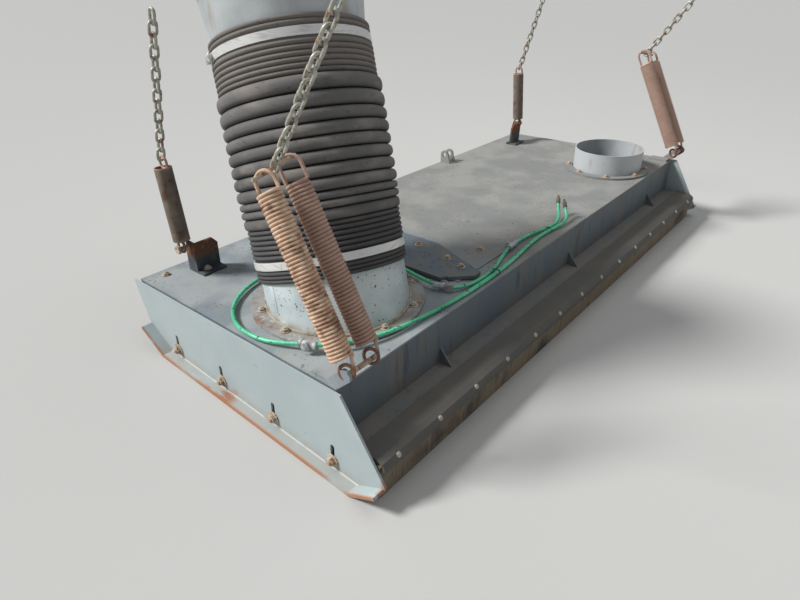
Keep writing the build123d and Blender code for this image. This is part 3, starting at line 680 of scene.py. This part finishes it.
# %% Routes of the line
LINE_R = 5.5
LINE_ROUTES = {
    # X, depth, height of the tube's middle above the deck
    "outer": ((990, 187, 24), (962, 215, 23), (908, 248, 20), (830, 275, 14), (725, 289, 9),
              (600, 302, 9), (480, 306, 9), (380, 304, 9), (290, 297, 9), (200, 285, 9), (110, 275, 9),
              (30, 276, 9), (-45, 286, 9), (-95, 280, 14), (-118, 262, 30), (-130, 246, 54)),
    "round_spigot": ((1003, 147, 18), (1034, 92, 12), (1048, 20, 9), (1040, -60, 9), (990, -140, 9),
                     (905, -195, 9), (800, -216, 9), (690, -206, 9), (600, -160, 12), (548, -85, 24),
                     (544, 0, 26), (560, 80, 24), (574, 150, 22), (576, 215, 18)),
    "middle": ((558, 262, 14), (520, 285, 10), (460, 291, 9), (400, 288, 9), (340, 275, 9),
               (285, 257, 9), (235, 248, 13.5)),
    "far": ((190, 244, 13.5), (130, 240, 9), (75, 248, 9), (25, 261, 9), (-30, 268, 9),
            (-85, 256, 14), (-120, 232, 30), (-142, 216, 58)),
}
line_tubes = {}
for name, route in LINE_ROUTES.items():
    clear_selection()
    curve = bpy.data.curves.new(f"air_line_{name}", "CURVE")
    curve.dimensions = "3D"
    spline = curve.splines.new("NURBS")
    spline.points.add(len(route) - 1)
    for point, (x, depth, lift) in zip(spline.points, route):
        point.co = (*on_deck(x, depth, lift), 1)
    spline.order_u = 3
    spline.use_endpoint_u = True
    spline.resolution_u = 10
    curve.bevel_depth = LINE_R * MM
    curve.bevel_resolution = 3
    curve.use_fill_caps = True
    tube = bpy.data.objects.new(curve.name, curve)
    bpy.context.collection.objects.link(tube)
    tube.select_set(True)
    bpy.context.view_layer.objects.active = tube
    bpy.ops.object.convert(target="MESH")
    tube = bpy.context.object
    bpy.ops.object.shade_smooth_by_angle(angle=radians(40))
    line_tubes[name] = tube
    print("line", name, triangles(tube), "triangles")

# %% One push-in tee
def collar(name, radius, length, place, turn):
    """A ring that stands a little proud of the tee's body, with rounded rims."""
    return rod(name, radius, length, place, turn, corners=24, bevel=1.2)


ALONG_X = (0, pi / 2, 0)


def push_in_tee(length):
    """A tee along X with a branch along Y that is closed by a round plug."""
    parts = [
        rod("tee_body", 8.2, length, (0, 0, 0), ALONG_X, corners=24, bevel=1.5),
        collar("tee_ring_a", 10, 9, (-length / 2 + 5, 0, 0), ALONG_X),
        collar("tee_ring_b", 10, 9, (length / 2 - 5, 0, 0), ALONG_X),
        rod("tee_branch", 8, 16, (0, 7, 0), ALONG_Y, corners=24, bevel=1),
        collar("tee_plug", 11, 5, (0, 14.5, 0), ALONG_Y),
        rod("tee_screw", 5, 3, (0, 17.5, 0), ALONG_Y, corners=6),
    ]
    return join(parts, "push_in_tee")


TEE_ENDS = (("outer", 0, "round_spigot", 0), ("round_spigot", -1, "middle", 0), ("middle", -1, "far", 0))
tees = []
for name, end, next_name, next_end in TEE_ENDS:
    a, b = on_deck(*LINE_ROUTES[name][end]), on_deck(*LINE_ROUTES[next_name][next_end])
    model = push_in_tee((b - a).length / MM + 6)
    tees.append(copy_to(model, "tee", (a + b) / 2, b - a, DECK_UP if (b - a).x < 0.02 else -DECK_UP))
    remove(model)
line_fittings = join(tees, "push_in_tees")
print("tees", len(TEE_ENDS))

# %% Ties and end collars
TIE_HALF_HEIGHT = 7
TIE_WIDTH = 4.4
TIE_THICK = 1.3
TIE_HEAD = 7


def strap(width):
    """A cable tie round two tubes: a band with a small locking head."""
    piece = start("tie_band", bpy.ops.mesh.primitive_circle_add, vertices=28, radius=1 * MM)
    bpy.ops.transform.resize(value=(width / 2, TIE_HALF_HEIGHT, 1))
    extrude(z=TIE_WIDTH * MM)
    thicken(piece, TIE_THICK)
    head = start("tie_head", bpy.ops.mesh.primitive_cube_add, size=TIE_HEAD * MM,
                 location=(0, (TIE_HALF_HEIGHT + 2) * MM, TIE_WIDTH / 2 * MM))
    bpy.ops.mesh.bevel(offset=1 * MM, segments=2, affect="EDGES")
    close_shape(head)
    return join([piece, head], "tie")


TIES = (
    # X, depth, height, width, direction of the tubes in X and depth
    (392, 296, 9, 32, (-0.99, -0.08)),
    (20, 269, 9, 30, (-0.99, 0.1)),
)
ties = []
for x, depth, lift, width, (along_x, along_y) in TIES:
    model = strap(width)
    run = (Vector((1, 0, 0)) * along_x + deck_back * along_y).normalized()
    ties.append(copy_to(model, "tie", on_deck(x, depth, lift), run.cross(DECK_UP), run))
    remove(model)
line_ties = join(ties, "line_ties")
collars = []
for name in ("outer", "far"):
    last, before = on_deck(*LINE_ROUTES[name][-1]), on_deck(*LINE_ROUTES[name][-2])
    model = join([
        rod("sleeve", 7.2, 20, (0, 0, -8), corners=20, bevel=1),
        rod("stub", 4, 12, (0, 0, 6)),
    ], "end")
    collars.append(copy_to(model, "collar", last, (1, 0, 0), last - before))
    remove(model)
line_ends = join(collars, "line_end_collars")
print("ties", len(TIES), "collars", len(collars))

# %% [markdown]
# Where the spigot meets the flange there is a hand-laid weld. Its path is the cut of a leaning tube
# with a sloping plane, so a tube is added on the hose's axis and bisected by the flange's top: what
# is left is the path, and a round bevel makes it a bead.

# %% The weld round the spigot
WELD_R = 193
WELD_LIFT = 9.2
WELD_BEAD_R = 4.5
weld_path = start("weld_path", bpy.ops.mesh.primitive_cylinder_add, vertices=120, radius=WELD_R * MM,
                  depth=0.3, end_fill_type="NOTHING")
standing = copy_to(weld_path, "spigot_weld", hose_foot, (1, 0, 0), hose_up)
remove(weld_path)
bpy.ops.object.mode_set(mode="EDIT")
bpy.ops.mesh.select_all(action="SELECT")
bpy.ops.mesh.bisect(plane_co=on_deck(*SUCTION_PLACE, WELD_LIFT), plane_no=DECK_UP, clear_inner=True,
                    clear_outer=True)
select_only(standing)
bpy.ops.object.convert(target="CURVE")
spigot_weld = bpy.context.object
spigot_weld.data.bevel_depth = WELD_BEAD_R * MM
spigot_weld.data.bevel_resolution = 2
bpy.ops.object.convert(target="MESH")
spigot_weld = bpy.context.object
spigot_weld.name = "spigot_weld"
bpy.ops.object.shade_smooth_by_angle(angle=radians(60))
print("weld triangles", triangles(spigot_weld))

# %% The lap seam of the spigot's sheet
SPIGOT_R = 191
SEAM_THICK, SEAM_WIDTH, SEAM_HEIGHT = 1.6, 20, 78
seam_place, seam_out = round_hose(SPIGOT_R, -6, 50)
seam = start("seam", bpy.ops.mesh.primitive_cube_add, size=1,
             scale=(SEAM_THICK * MM, SEAM_WIDTH * MM, SEAM_HEIGHT * MM))
pick(seam, lambda p: abs(p.x) > (SEAM_THICK / 2 - 0.1) * MM or abs(p.y) > (SEAM_WIDTH / 2 - 0.1) * MM,
     "edges")
bpy.ops.mesh.bevel(offset=0.5 * MM, segments=2, affect="EDGES")
close_shape(seam)
spigot_seam = copy_to(seam, "spigot_lap_seam", seam_place, seam_out, hose_up)
remove(seam)
print("seam triangles", triangles(spigot_seam))

# %% [markdown]
# The finishes. Colours are written as the eye reads them, in sRGB hex, and one function turns them
# to the linear values that the shader wants. A finish is built in coats: it starts with one even
# colour on the shader, and each coat of dust, rust or wear covers part of it through a mask. Masks
# come from noise at a real size, or from a place on the object, such as a height.

# %% Helpers for finishes
def linear(code):
    """sRGB hex to a linear colour."""
    parts = [int(code[i:i + 2], 16) / 255 for i in (1, 3, 5)]
    return (*[v / 12.92 if v <= 0.04045 else ((v + 0.055) / 1.055) ** 2.4 for v in parts], 1)


def add(material, kind, settings=None, links=None):
    """Adds a node: settings are its properties or input values, links what feeds its inputs."""
    node = material.node_tree.nodes.new(kind)
    for key, value in (settings or {}).items():
        if isinstance(key, str) and hasattr(node, key):
            setattr(node, key, value)
        else:
            node.inputs[key].default_value = value
    for key, source in (links or {}).items():
        material.node_tree.links.new(source, node.inputs[key])
    return node


def finish(name, colour, roughness, metallic=0.0, specular=0.5):
    """A material of one even colour, to be covered in coats."""
    material = bpy.data.materials.new(name)
    material.use_nodes = True
    shader = material.node_tree.nodes["Principled BSDF"]
    shader.inputs["Base Color"].default_value = linear(colour)
    shader.inputs["Roughness"].default_value = roughness
    shader.inputs["Metallic"].default_value = metallic
    shader.inputs["Specular IOR Level"].default_value = specular
    return material


def patches(material, size_mm, low, high, stretch=(1, 1, 1), detail=4, seed=0.0):
    """A mask of soft patches of a real size: 0 where the noise is under low, 1 where it is over high."""
    place = add(material, "ShaderNodeTexCoord").outputs["Object"]
    mapped = add(material, "ShaderNodeMapping", {"Location": (seed, seed, seed), "Scale": stretch},
                 {"Vector": place}).outputs["Vector"]
    noise = add(material, "ShaderNodeTexNoise", {"Scale": 1000 / size_mm, "Detail": detail},
                {"Vector": mapped})
    return add(material, "ShaderNodeMapRange", {
        "interpolation_type": "SMOOTHSTEP", "From Min": low, "From Max": high},
        {"Value": noise.outputs["Fac"]}).outputs["Result"]


def along(material, direction, start_mm, end_mm):
    """A mask that grows from 0 to 1 between two distances along a direction."""
    place = add(material, "ShaderNodeTexCoord").outputs["Object"]
    distance = add(material, "ShaderNodeVectorMath", {"operation": "DOT_PRODUCT", 1: direction}, {0: place})
    return add(material, "ShaderNodeMapRange", {
        "interpolation_type": "SMOOTHSTEP", "From Min": start_mm * MM, "From Max": end_mm * MM},
        {"Value": distance.outputs["Value"]}).outputs["Result"]


def cover(material, colour, masks, roughness, share=1.0, metallic=None):
    """Covers what the shader has so far with another colour, where all masks are, times a share."""
    shader = material.node_tree.nodes["Principled BSDF"]
    mask, *others = masks
    for other in others:
        mask = add(material, "ShaderNodeMath", {"operation": "MULTIPLY"}, {0: mask, 1: other}).outputs[0]
    mask = add(material, "ShaderNodeMath", {"operation": "MULTIPLY", 1: share}, {0: mask}).outputs[0]
    coats = [("Base Color", linear(colour)), ("Roughness", roughness)]
    if metallic is not None:
        coats.append(("Metallic", metallic))
    for socket_name, value in coats:
        socket = shader.inputs[socket_name]
        is_colour = socket_name == "Base Color"
        first, second, result = (6, 7, 2) if is_colour else (2, 3, 0)
        mix = add(material, "ShaderNodeMix", {"data_type": "RGBA" if is_colour else "FLOAT", second: value},
                  {0: mask})
        if socket.is_linked:
            material.node_tree.links.new(socket.links[0].from_socket, mix.inputs[first])
        else:
            mix.inputs[first].default_value = socket.default_value
        material.node_tree.links.new(mix.outputs[result], socket)


def give(material, *pieces):
    for piece in pieces:
        piece.data.materials.clear()
        piece.data.materials.append(material)


def give_node(material, *names):
    for name in names:
        for material_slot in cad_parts[name].material_slots:
            material_slot.material = material


# %% [markdown]
# The hood is sheet steel in blue-grey enamel, which is half matt. Road dust dulls it in patches, the
# far half is browner and darker, partly from dust and partly as painted shade, and there are small
# chips down to rust. Dust takes the sheen off.

# %% Blue-grey enamel under dust and painted shade
enamel = finish("hood_enamel_dust_and_painted_shade", "#828b90", 0.5, specular=0.35)
cover(enamel, "#78838a", [patches(enamel, 240, 0.4, 0.7)], 0.55, 0.6)
cover(enamel, "#a6aaa9", [patches(enamel, 150, 0.38, 0.62, detail=6)], 0.85, 0.7)
cover(enamel, "#96938b", [patches(enamel, 34, 0.48, 0.72, detail=6, seed=3.1)], 0.9, 0.45)
# Towards -X, from X = 520 mm to 250 mm, the deck turns browner and darker: partly dust, partly painted
# shade.
cover(enamel, "#7d7466", [along(enamel, (-1, 0, 0), -520, -250)], 0.9, 0.45)
cover(enamel, "#4f4a44", [
    patches(enamel, 9, 0.6, 0.68, seed=1.4), patches(enamel, 90, 0.45, 0.6)], 0.9, 0.7)
cover(enamel, "#8a5c3e", [
    patches(enamel, 7, 0.64, 0.7, seed=7), patches(enamel, 70, 0.5, 0.62, seed=5)], 0.9)

# The walls face sideways, where dust runs down in streaks. Their enamel is darker than the hood's,
# as painted shade.
shaded_wall_enamel = finish("streaked_wall_enamel_painted_shade", "#5d6971", 0.5)
cover(shaded_wall_enamel, "#7d776c", [
    patches(shaded_wall_enamel, 60, 0.42, 0.68, stretch=(1, 1, 0.16), detail=6)], 0.85, 0.6)
cover(shaded_wall_enamel, "#454b50", [
    patches(shaded_wall_enamel, 22, 0.55, 0.7, stretch=(1, 1, 0.1), seed=2)], 0.7, 0.6)
cover(shaded_wall_enamel, "#756b5e", [along(shaded_wall_enamel, (0, 0, -1), -150, -95)], 0.9, 0.5)

# %% [markdown]
# The skid plates wear the same enamel, but gravel and wind keep them clean, apart from the dust on
# the foot. The foot scrapes over the road, which bares the steel along its outer edge and at its
# rear tip, and that rusts orange at once, as it does under the second bolt. A broken pale line
# follows the bend to the foot.

# %% Enamel of the skid plates, with a scraped foot
skid_enamel = finish("skid_enamel_scraped", "#a8b3b4", 0.42, specular=0.4)
cover(skid_enamel, "#9ca8aa", [patches(skid_enamel, 300, 0.4, 0.66)], 0.45, 0.6)
cover(skid_enamel, "#b3baba", [patches(skid_enamel, 90, 0.5, 0.75, detail=6, seed=4)], 0.6, 0.5)
cover(skid_enamel, "#7e8a90", [
    patches(skid_enamel, 11, 0.66, 0.72, stretch=(1, 0.25, 1), detail=6)], 0.6, 0.4)
cover(skid_enamel, "#a5a59f", [
    along(skid_enamel, (0, 0, -1), -44, -10), patches(skid_enamel, 45, 0.25, 0.5, seed=2)], 0.8, 0.85)
cover(skid_enamel, "#cdd0cc", [
    along(skid_enamel, (0, 0, -1), -12, -9), along(skid_enamel, (-1, 0, 0), -1071, -1068.5),
    patches(skid_enamel, 40, 0.36, 0.5, seed=15)], 0.7, 0.75)
cover(skid_enamel, "#9c6443", [
    along(skid_enamel, (0, 1, 0), -150, -120), along(skid_enamel, (0, -1, 0), 10, 50),
    along(skid_enamel, (0, 0, -1), -34, -20),
    patches(skid_enamel, 24, 0.42, 0.58, stretch=(1, 0.3, 1), detail=6, seed=9)], 0.85, 0.85)
cover(skid_enamel, "#a8714e", [
    along(skid_enamel, (1, 0, 0), 1092, 1099.5),
    patches(skid_enamel, 40, 0.3, 0.5, stretch=(1, 0.3, 1), detail=6, seed=5)], 0.85, 0.9)
cover(skid_enamel, "#a06a48", [
    along(skid_enamel, (0, 1, 0), 472, 488), patches(skid_enamel, 30, 0.4, 0.56, seed=12)], 0.85, 0.8)

# %% [markdown]
# The flaps are thick black rubber belting, grey-brown with mud that never washes off, which has run
# down them in upright strokes. The folded strips that clamp them are dull with the same mud.

# %% Muddy rubber belting and worn strips
belting = finish("belting_rubber_muddy", "#3d3a37", 0.8)
cover(belting, "#857763", [patches(belting, 130, 0.24, 0.5, detail=6)], 0.92, 0.9)
cover(belting, "#94836c", [
    patches(belting, 30, 0.5, 0.7, stretch=(1.6, 1, 0.3), detail=6, seed=2)], 0.95, 0.5)
cover(belting, "#433d38", [
    patches(belting, 16, 0.58, 0.66, stretch=(1.5, 1, 0.25), detail=5, seed=5)], 0.85, 0.5)

strip_steel = finish("strip_enamel_worn", "#5b5a56", 0.6, specular=0.3)
cover(strip_steel, "#6a645b", [patches(strip_steel, 80, 0.4, 0.65, detail=6)], 0.85, 0.6)
cover(strip_steel, "#7a4b30", [patches(strip_steel, 12, 0.66, 0.72, seed=8)], 0.9, 0.8)

# %% [markdown]
# The hose is carbon-black rubber, matt, with tan dust that settles on the crests of its rolls and
# leaves the grooves black. The mesh carries how near each point is to a crest, and the dust follows
# that, broken by noise. The beads at the top are dusty all over.

# %% Dusty black rubber
hose_rubber = finish("hose_rubber_dusty", "#373738", 0.68, specular=0.4)
crest = add(hose_rubber, "ShaderNodeAttribute", {"attribute_name": "crest"}).outputs["Fac"]
on_crest = add(hose_rubber, "ShaderNodeMapRange", {"From Min": 0.2, "From Max": 0.95},
               {"Value": crest}).outputs["Result"]
cover(hose_rubber, "#6b6967", [on_crest, patches(hose_rubber, 200, 0.1, 0.6)], 0.85, 0.9)
cover(hose_rubber, "#8b847c", [
    on_crest, patches(hose_rubber, 110, 0.46, 0.74, stretch=(1, 1, 2), detail=6, seed=3)], 0.92, 0.7)
foot_along = hose_foot.dot(hose_up) / MM
cover(hose_rubber, "#8b847c", [
    along(hose_rubber, tuple(hose_up), foot_along + 520, foot_along + 570)], 0.9, 0.55)
cover(hose_rubber, "#202021", [patches(hose_rubber, 14, 0.6, 0.68, stretch=(1, 1, 2), seed=7)], 0.6, 0.3)

# %% [markdown]
# The duct and the spigot are painted sheet, light grey and in full light. Stones thrown up by the
# road have pitted the spigot, and its foot is dusty.

# %% Light enamel of the duct and the spigot
duct_enamel = finish("duct_enamel_light", "#b4b8b9", 0.45)
cover(duct_enamel, "#8d9294", [patches(duct_enamel, 160, 0.42, 0.68, detail=5)], 0.55, 0.7)
cover(duct_enamel, "#9c9184", [
    patches(duct_enamel, 40, 0.56, 0.7, stretch=(1, 1, 0.3), detail=6, seed=4)], 0.85, 0.6)

spigot_enamel = finish("spigot_enamel_pitted", "#c6cfcf", 0.45, specular=0.4)
cover(spigot_enamel, "#a3afb4", [patches(spigot_enamel, 120, 0.42, 0.66, detail=5, seed=2)], 0.5, 0.7)
cover(spigot_enamel, "#16191b", [patches(spigot_enamel, 8, 0.65, 0.68, seed=3)], 0.7)
cover(spigot_enamel, "#c9cccb", [
    patches(spigot_enamel, 16, 0.66, 0.7, stretch=(1, 1, 0.4), seed=9)], 0.5, 0.4)
cover(spigot_enamel, "#9a8d7a", [
    along(spigot_enamel, (0, 0, -1), -262, -236), patches(spigot_enamel, 40, 0.3, 0.6)], 0.9, 0.8)

flange_steel = finish("flange_enamel_rubbed", "#969795", 0.6, specular=0.35)
cover(flange_steel, "#7b7469", [patches(flange_steel, 45, 0.4, 0.66, detail=6, seed=5)], 0.88, 0.75)
cover(flange_steel, "#b9b8b1", [patches(flange_steel, 14, 0.6, 0.68, detail=5, seed=2)], 0.6, 0.7)
cover(flange_steel, "#8f5a3b", [patches(flange_steel, 26, 0.58, 0.68, detail=6, seed=8)], 0.9, 0.8)

# %% [markdown]
# Spring wire is bare, so it rusts all over, in patches from pale tan to dark brown, and darkest at
# its lower end. Its pale tans are partly rust and partly painted light, and every spring below
# X = 1000 mm is greyer and darker, as painted shade. The tubes rust likewise. The front brackets
# keep dark paint, with rust at the top.

# %% Rust, with painted light and shade on the springs
# Painted light: the spring's tans are set lighter than the rust alone, since the springs face away from the
# key lamp.
spring_rust = finish("spring_steel_rusted_painted_light_and_shade", "#9a7660", 0.85, specular=0.3)
cover(spring_rust, "#cdad92", [patches(spring_rust, 60, 0.3, 0.55, detail=6)], 0.9, 0.9)
cover(spring_rust, "#e4ccb2", [patches(spring_rust, 18, 0.48, 0.68, detail=6, seed=2)], 0.92, 0.6)
cover(spring_rust, "#5c3d2e", [patches(spring_rust, 24, 0.53, 0.68, detail=6, seed=6)], 0.85, 0.65)
# Painted shade: every spring below X = 1000 mm turns greyer and darker.
cover(spring_rust, "#aa8d80", [along(spring_rust, (-1, 0, 0), -1012, -1000)], 0.88, 0.8)
cover(spring_rust, "#6e4030", [along(spring_rust, (0, 0, -1), -326, -312)], 0.88, 0.75)

tube_rust = finish("tube_steel_rusted", "#6b6055", 0.85)
cover(tube_rust, "#85786a", [patches(tube_rust, 50, 0.4, 0.66, detail=6)], 0.9, 0.8)
cover(tube_rust, "#5a3b2c", [patches(tube_rust, 30, 0.52, 0.68, detail=6, seed=4)], 0.85, 0.75)
cover(tube_rust, "#b08a78", [along(tube_rust, (0, -0.132, 0.991), 563, 568)], 0.85, 0.9)

bracket_rust = finish("bracket_enamel_rusted", "#3b424a", 0.55)
cover(bracket_rust, "#7c766c", [
    patches(bracket_rust, 40, 0.5, 0.7, stretch=(1, 1, 0.3), detail=6, seed=3)], 0.85, 0.6)
cover(bracket_rust, "#684430", [
    along(bracket_rust, (0, 0, 1), 238, 262), patches(bracket_rust, 60, 0.2, 0.5, detail=6)], 0.88)
cover(bracket_rust, "#8f6145", [
    along(bracket_rust, (0, 0, 1), 240, 270),
    patches(bracket_rust, 14, 0.5, 0.66, detail=6, seed=6)], 0.9, 0.7)

# %% [markdown]
# The chain is hot-dip galvanised: a pale zinc skin that has weathered to a matt cream, worn through
# to rust in patches. The bands are stainless, brushed round, and their near-white colour is partly
# painted reflection. The bolts are zinc plated.

# %% Zinc and rust of the chains, stainless bands with painted reflection, bolts
chain_zinc = finish("chain_zinc_weathered", "#b9b7ab", 0.5, metallic=0.35)
cover(chain_zinc, "#8b8a82", [patches(chain_zinc, 12, 0.4, 0.64, detail=5)], 0.6, 0.7)
cover(chain_zinc, "#8f6244", [
    patches(chain_zinc, 26, 0.54, 0.64, detail=5, seed=4)], 0.88, 0.85, metallic=0.0)

# Painted reflection: the bands' near-white colour stands partly for light reflected off the stainless.
band_steel_painted_reflection = finish("band_stainless_brushed_painted_reflection", "#e2e2de", 0.36, metallic=0.45)
cover(band_steel_painted_reflection, "#a5a49e", [patches(band_steel_painted_reflection, 50, 0.5, 0.7, stretch=(1, 1, 8))], 0.5, 0.6)

bolt_zinc = finish("bolt_zinc_rusting", "#b8ad9c", 0.6, metallic=0.15)
cover(bolt_zinc, "#a57b58", [patches(bolt_zinc, 22, 0.44, 0.64, detail=5)], 0.88, 0.7, metallic=0.0)
cover(bolt_zinc, "#6a4733", [
    patches(bolt_zinc, 9, 0.52, 0.66, detail=5, seed=5)], 0.9, 0.8, metallic=0.0)

bolt_worn = finish("bolt_head_rubbed", "#b4b2ab", 0.45, metallic=0.5)
cover(bolt_worn, "#77706a", [patches(bolt_worn, 8, 0.5, 0.66, detail=5)], 0.75, 0.8, metallic=0.1)

weld_steel = finish("weld_bead_dusty", "#a39a8c", 0.75)
cover(weld_steel, "#7d6a55", [patches(weld_steel, 20, 0.45, 0.65, detail=5)], 0.9, 0.7)

# %% [markdown]
# The air line is nylon 12, extruded and dyed right through, with the soft shine of an uncut plastic,
# and pale mint spots of painted highlight.
# Mud has dried on it in spots. Its tees are moulded from grey acetal.

# %% Green nylon with painted highlights, grey acetal, black ties
line_nylon = finish("line_nylon_green_painted_highlight", "#5cc99b", 0.35)
cover(line_nylon, "#369a74", [patches(line_nylon, 120, 0.42, 0.66)], 0.4, 0.6)
# Painted highlight: pale, shinier mint spots along the tube.
cover(line_nylon, "#8cdcc0", [patches(line_nylon, 30, 0.56, 0.72, seed=4)], 0.3, 0.5)
cover(line_nylon, "#2b4a38", [patches(line_nylon, 11, 0.6, 0.66, detail=5, seed=7)], 0.85, 0.85)

tee_acetal = finish("tee_acetal_grey", "#b2b5b6", 0.5)
cover(tee_acetal, "#6d6964", [patches(tee_acetal, 16, 0.46, 0.64, detail=6)], 0.85, 0.75)
collar_acetal = finish("collar_acetal_olive", "#5a5647", 0.6)
cover(collar_acetal, "#7b7261", [patches(collar_acetal, 12, 0.5, 0.68)], 0.85, 0.6)
tie_nylon = finish("tie_nylon_black", "#202224", 0.5)
cover(tie_nylon, "#5b564f", [patches(tie_nylon, 10, 0.5, 0.68)], 0.85, 0.6)

# %% [markdown]
# None of these surfaces is smooth: enamel has orange peel and grit in it, rust is rough, rubber is
# pitted and a weld bead is rippled. One table gives the grain of each, a few millimetres wide, which
# on wire and bolts is coarser than the real one, so that it shows. The ties and collars are too
# small to need any.

# %% The grain of each surface
EVEN = (1, 1, 1)
BRUSHED = (0.1, 0.1, 3)
GRAIN_LOW, GRAIN_HIGH = 0.3, 0.7
GRAINS = (
    # finish, size of the grain in mm, stretch, detail, height in mm, strength
    (enamel, 5, EVEN, 6, 0.25, 0.6),
    (shaded_wall_enamel, 6, EVEN, 4, 0.25, 0.5),
    (skid_enamel, 8, EVEN, 6, 0.15, 0.3),
    (belting, 6, EVEN, 6, 0.5, 0.6),
    (strip_steel, 7, EVEN, 4, 0.25, 0.5),
    (hose_rubber, 4, EVEN, 6, 0.4, 0.5),
    (duct_enamel, 9, EVEN, 4, 0.2, 0.4),
    (spigot_enamel, 8, EVEN, 4, 0.2, 0.4),
    (flange_steel, 5, EVEN, 6, 0.4, 0.6),
    (spring_rust, 3, EVEN, 6, 0.35, 0.8),
    (tube_rust, 4, EVEN, 6, 0.4, 0.7),
    (bracket_rust, 5, EVEN, 6, 0.4, 0.6),
    (chain_zinc, 3, EVEN, 4, 0.2, 0.5),
    (band_steel_painted_reflection, 2, BRUSHED, 4, 0.05, 0.5),
    (bolt_zinc, 3, EVEN, 5, 0.25, 0.6),
    (bolt_worn, 3, EVEN, 4, 0.2, 0.5),
    (weld_steel, 6, EVEN, 3, 1.2, 0.9),
    (line_nylon, 6, EVEN, 4, 0.15, 0.4),
    (tee_acetal, 4, EVEN, 4, 0.2, 0.5),
)
for material, size_mm, stretch, detail, height_mm, strength in GRAINS:
    grain = patches(material, size_mm, GRAIN_LOW, GRAIN_HIGH, stretch, detail)
    bump = add(material, "ShaderNodeBump", {"Strength": strength, "Distance": height_mm * MM},
               {"Height": grain})
    shader = material.node_tree.nodes["Principled BSDF"]
    material.node_tree.links.new(bump.outputs["Normal"], shader.inputs["Normal"])
print("grained finishes", len(GRAINS))

# %% The floor's paint
floor_paint = finish("studio_floor_pale", "#bbbab7", 0.95)
give(floor_paint, floor)
print("finishes", len(bpy.data.materials))

# %% [markdown]
# Last, every frame node gets its finish, and each new piece is handed over: it takes its finish, rides
# on its body, and stands for the nodes that it is finer than.

# %% Finishes of the frame's own sheet parts
give_node(enamel, "deck", "deck_panel", "blast_flange", "drag_clevis_left", "drag_clevis_right")
give_node(shaded_wall_enamel, "rear_wall", "front_wall", "end_wall_left", "end_wall_right", "blast_baffle",
          "ledge_gussets", "deck_rib")
give_node(skid_enamel, "skid_plate_left", "skid_plate_right")
give_node(belting, "rear_flap", "front_flap")
give_node(strip_steel, "rear_strip", "front_strip")
give_node(duct_enamel, "suction_duct", "duct_flange", "blast_spigot")
give_node(spigot_enamel, "suction_spigot")
give_node(flange_steel, "suction_flange")
give_node(band_steel_painted_reflection, "lower_clamp", "upper_clamp")
for side, sign in SIDES:
    give_node(tube_rust, f"front_spring_tube_{side}")
    give_node(bracket_rust, f"front_bracket_{side}")
    give_node(enamel, f"rear_bracket_{side}")
    give_node(bolt_zinc, f"front_pin_{side}", f"rear_pin_{side}")


# %% Handing over the new pieces
def hand_over(piece, material, slot, body, *nodes):
    give(material, piece)
    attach(piece, body)
    if nodes:
        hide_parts(*nodes)


hand_over(rubber_hose, hose_rubber, "hose_rubber", "head", "suction_hose")
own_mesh(rubber_hose)
hand_over(rolled_duct, duct_enamel, "duct_paint", "duct", "suction_duct")
for piece, body in clamp_bolts:
    hand_over(piece, band_steel_painted_reflection, "clamp_steel", body)
hand_over(clamp_tail, band_steel_painted_reflection, "clamp_steel", "head")
for name, piece in springs.items():
    hand_over(piece, spring_rust, "spring_rust", name, name)
for name, piece in chains.items():
    hand_over(piece, chain_zinc, "chain_zinc", name, name)
for side, sign in SIDES:
    hand_over(toggles[side], bolt_zinc, "bolt_steel", f"rear_springs_{side}", f"toggle_bar_{side}")
    hand_over(skid_bolts[side], bolt_zinc, "bolt_steel", "head", f"skid_bolts_{side}")
for bolts in (*bolt_rings, deck_bolts):
    hand_over(bolts, bolt_zinc, "bolt_steel", "head")
for row in strip_bolts.values():
    hand_over(row, bolt_worn, "bolt_steel", "head")
hand_over(line_tubes["outer"], line_nylon, "line_green", "head", "line_outer")
inner_line = join([line_tubes[name] for name in ("round_spigot", "middle", "far")], "air_line_inner")
hand_over(inner_line, line_nylon, "line_green", "head", "line_inner")
hand_over(line_fittings, tee_acetal, "tee_plastic", "head", "line_tees")
hand_over(line_ties, tie_nylon, "tee_plastic", "head")
hand_over(line_ends, collar_acetal, "tee_plastic", "head")
hand_over(spigot_weld, weld_steel, "hood_paint", "head")
hand_over(spigot_seam, spigot_enamel, "hood_paint", "head")
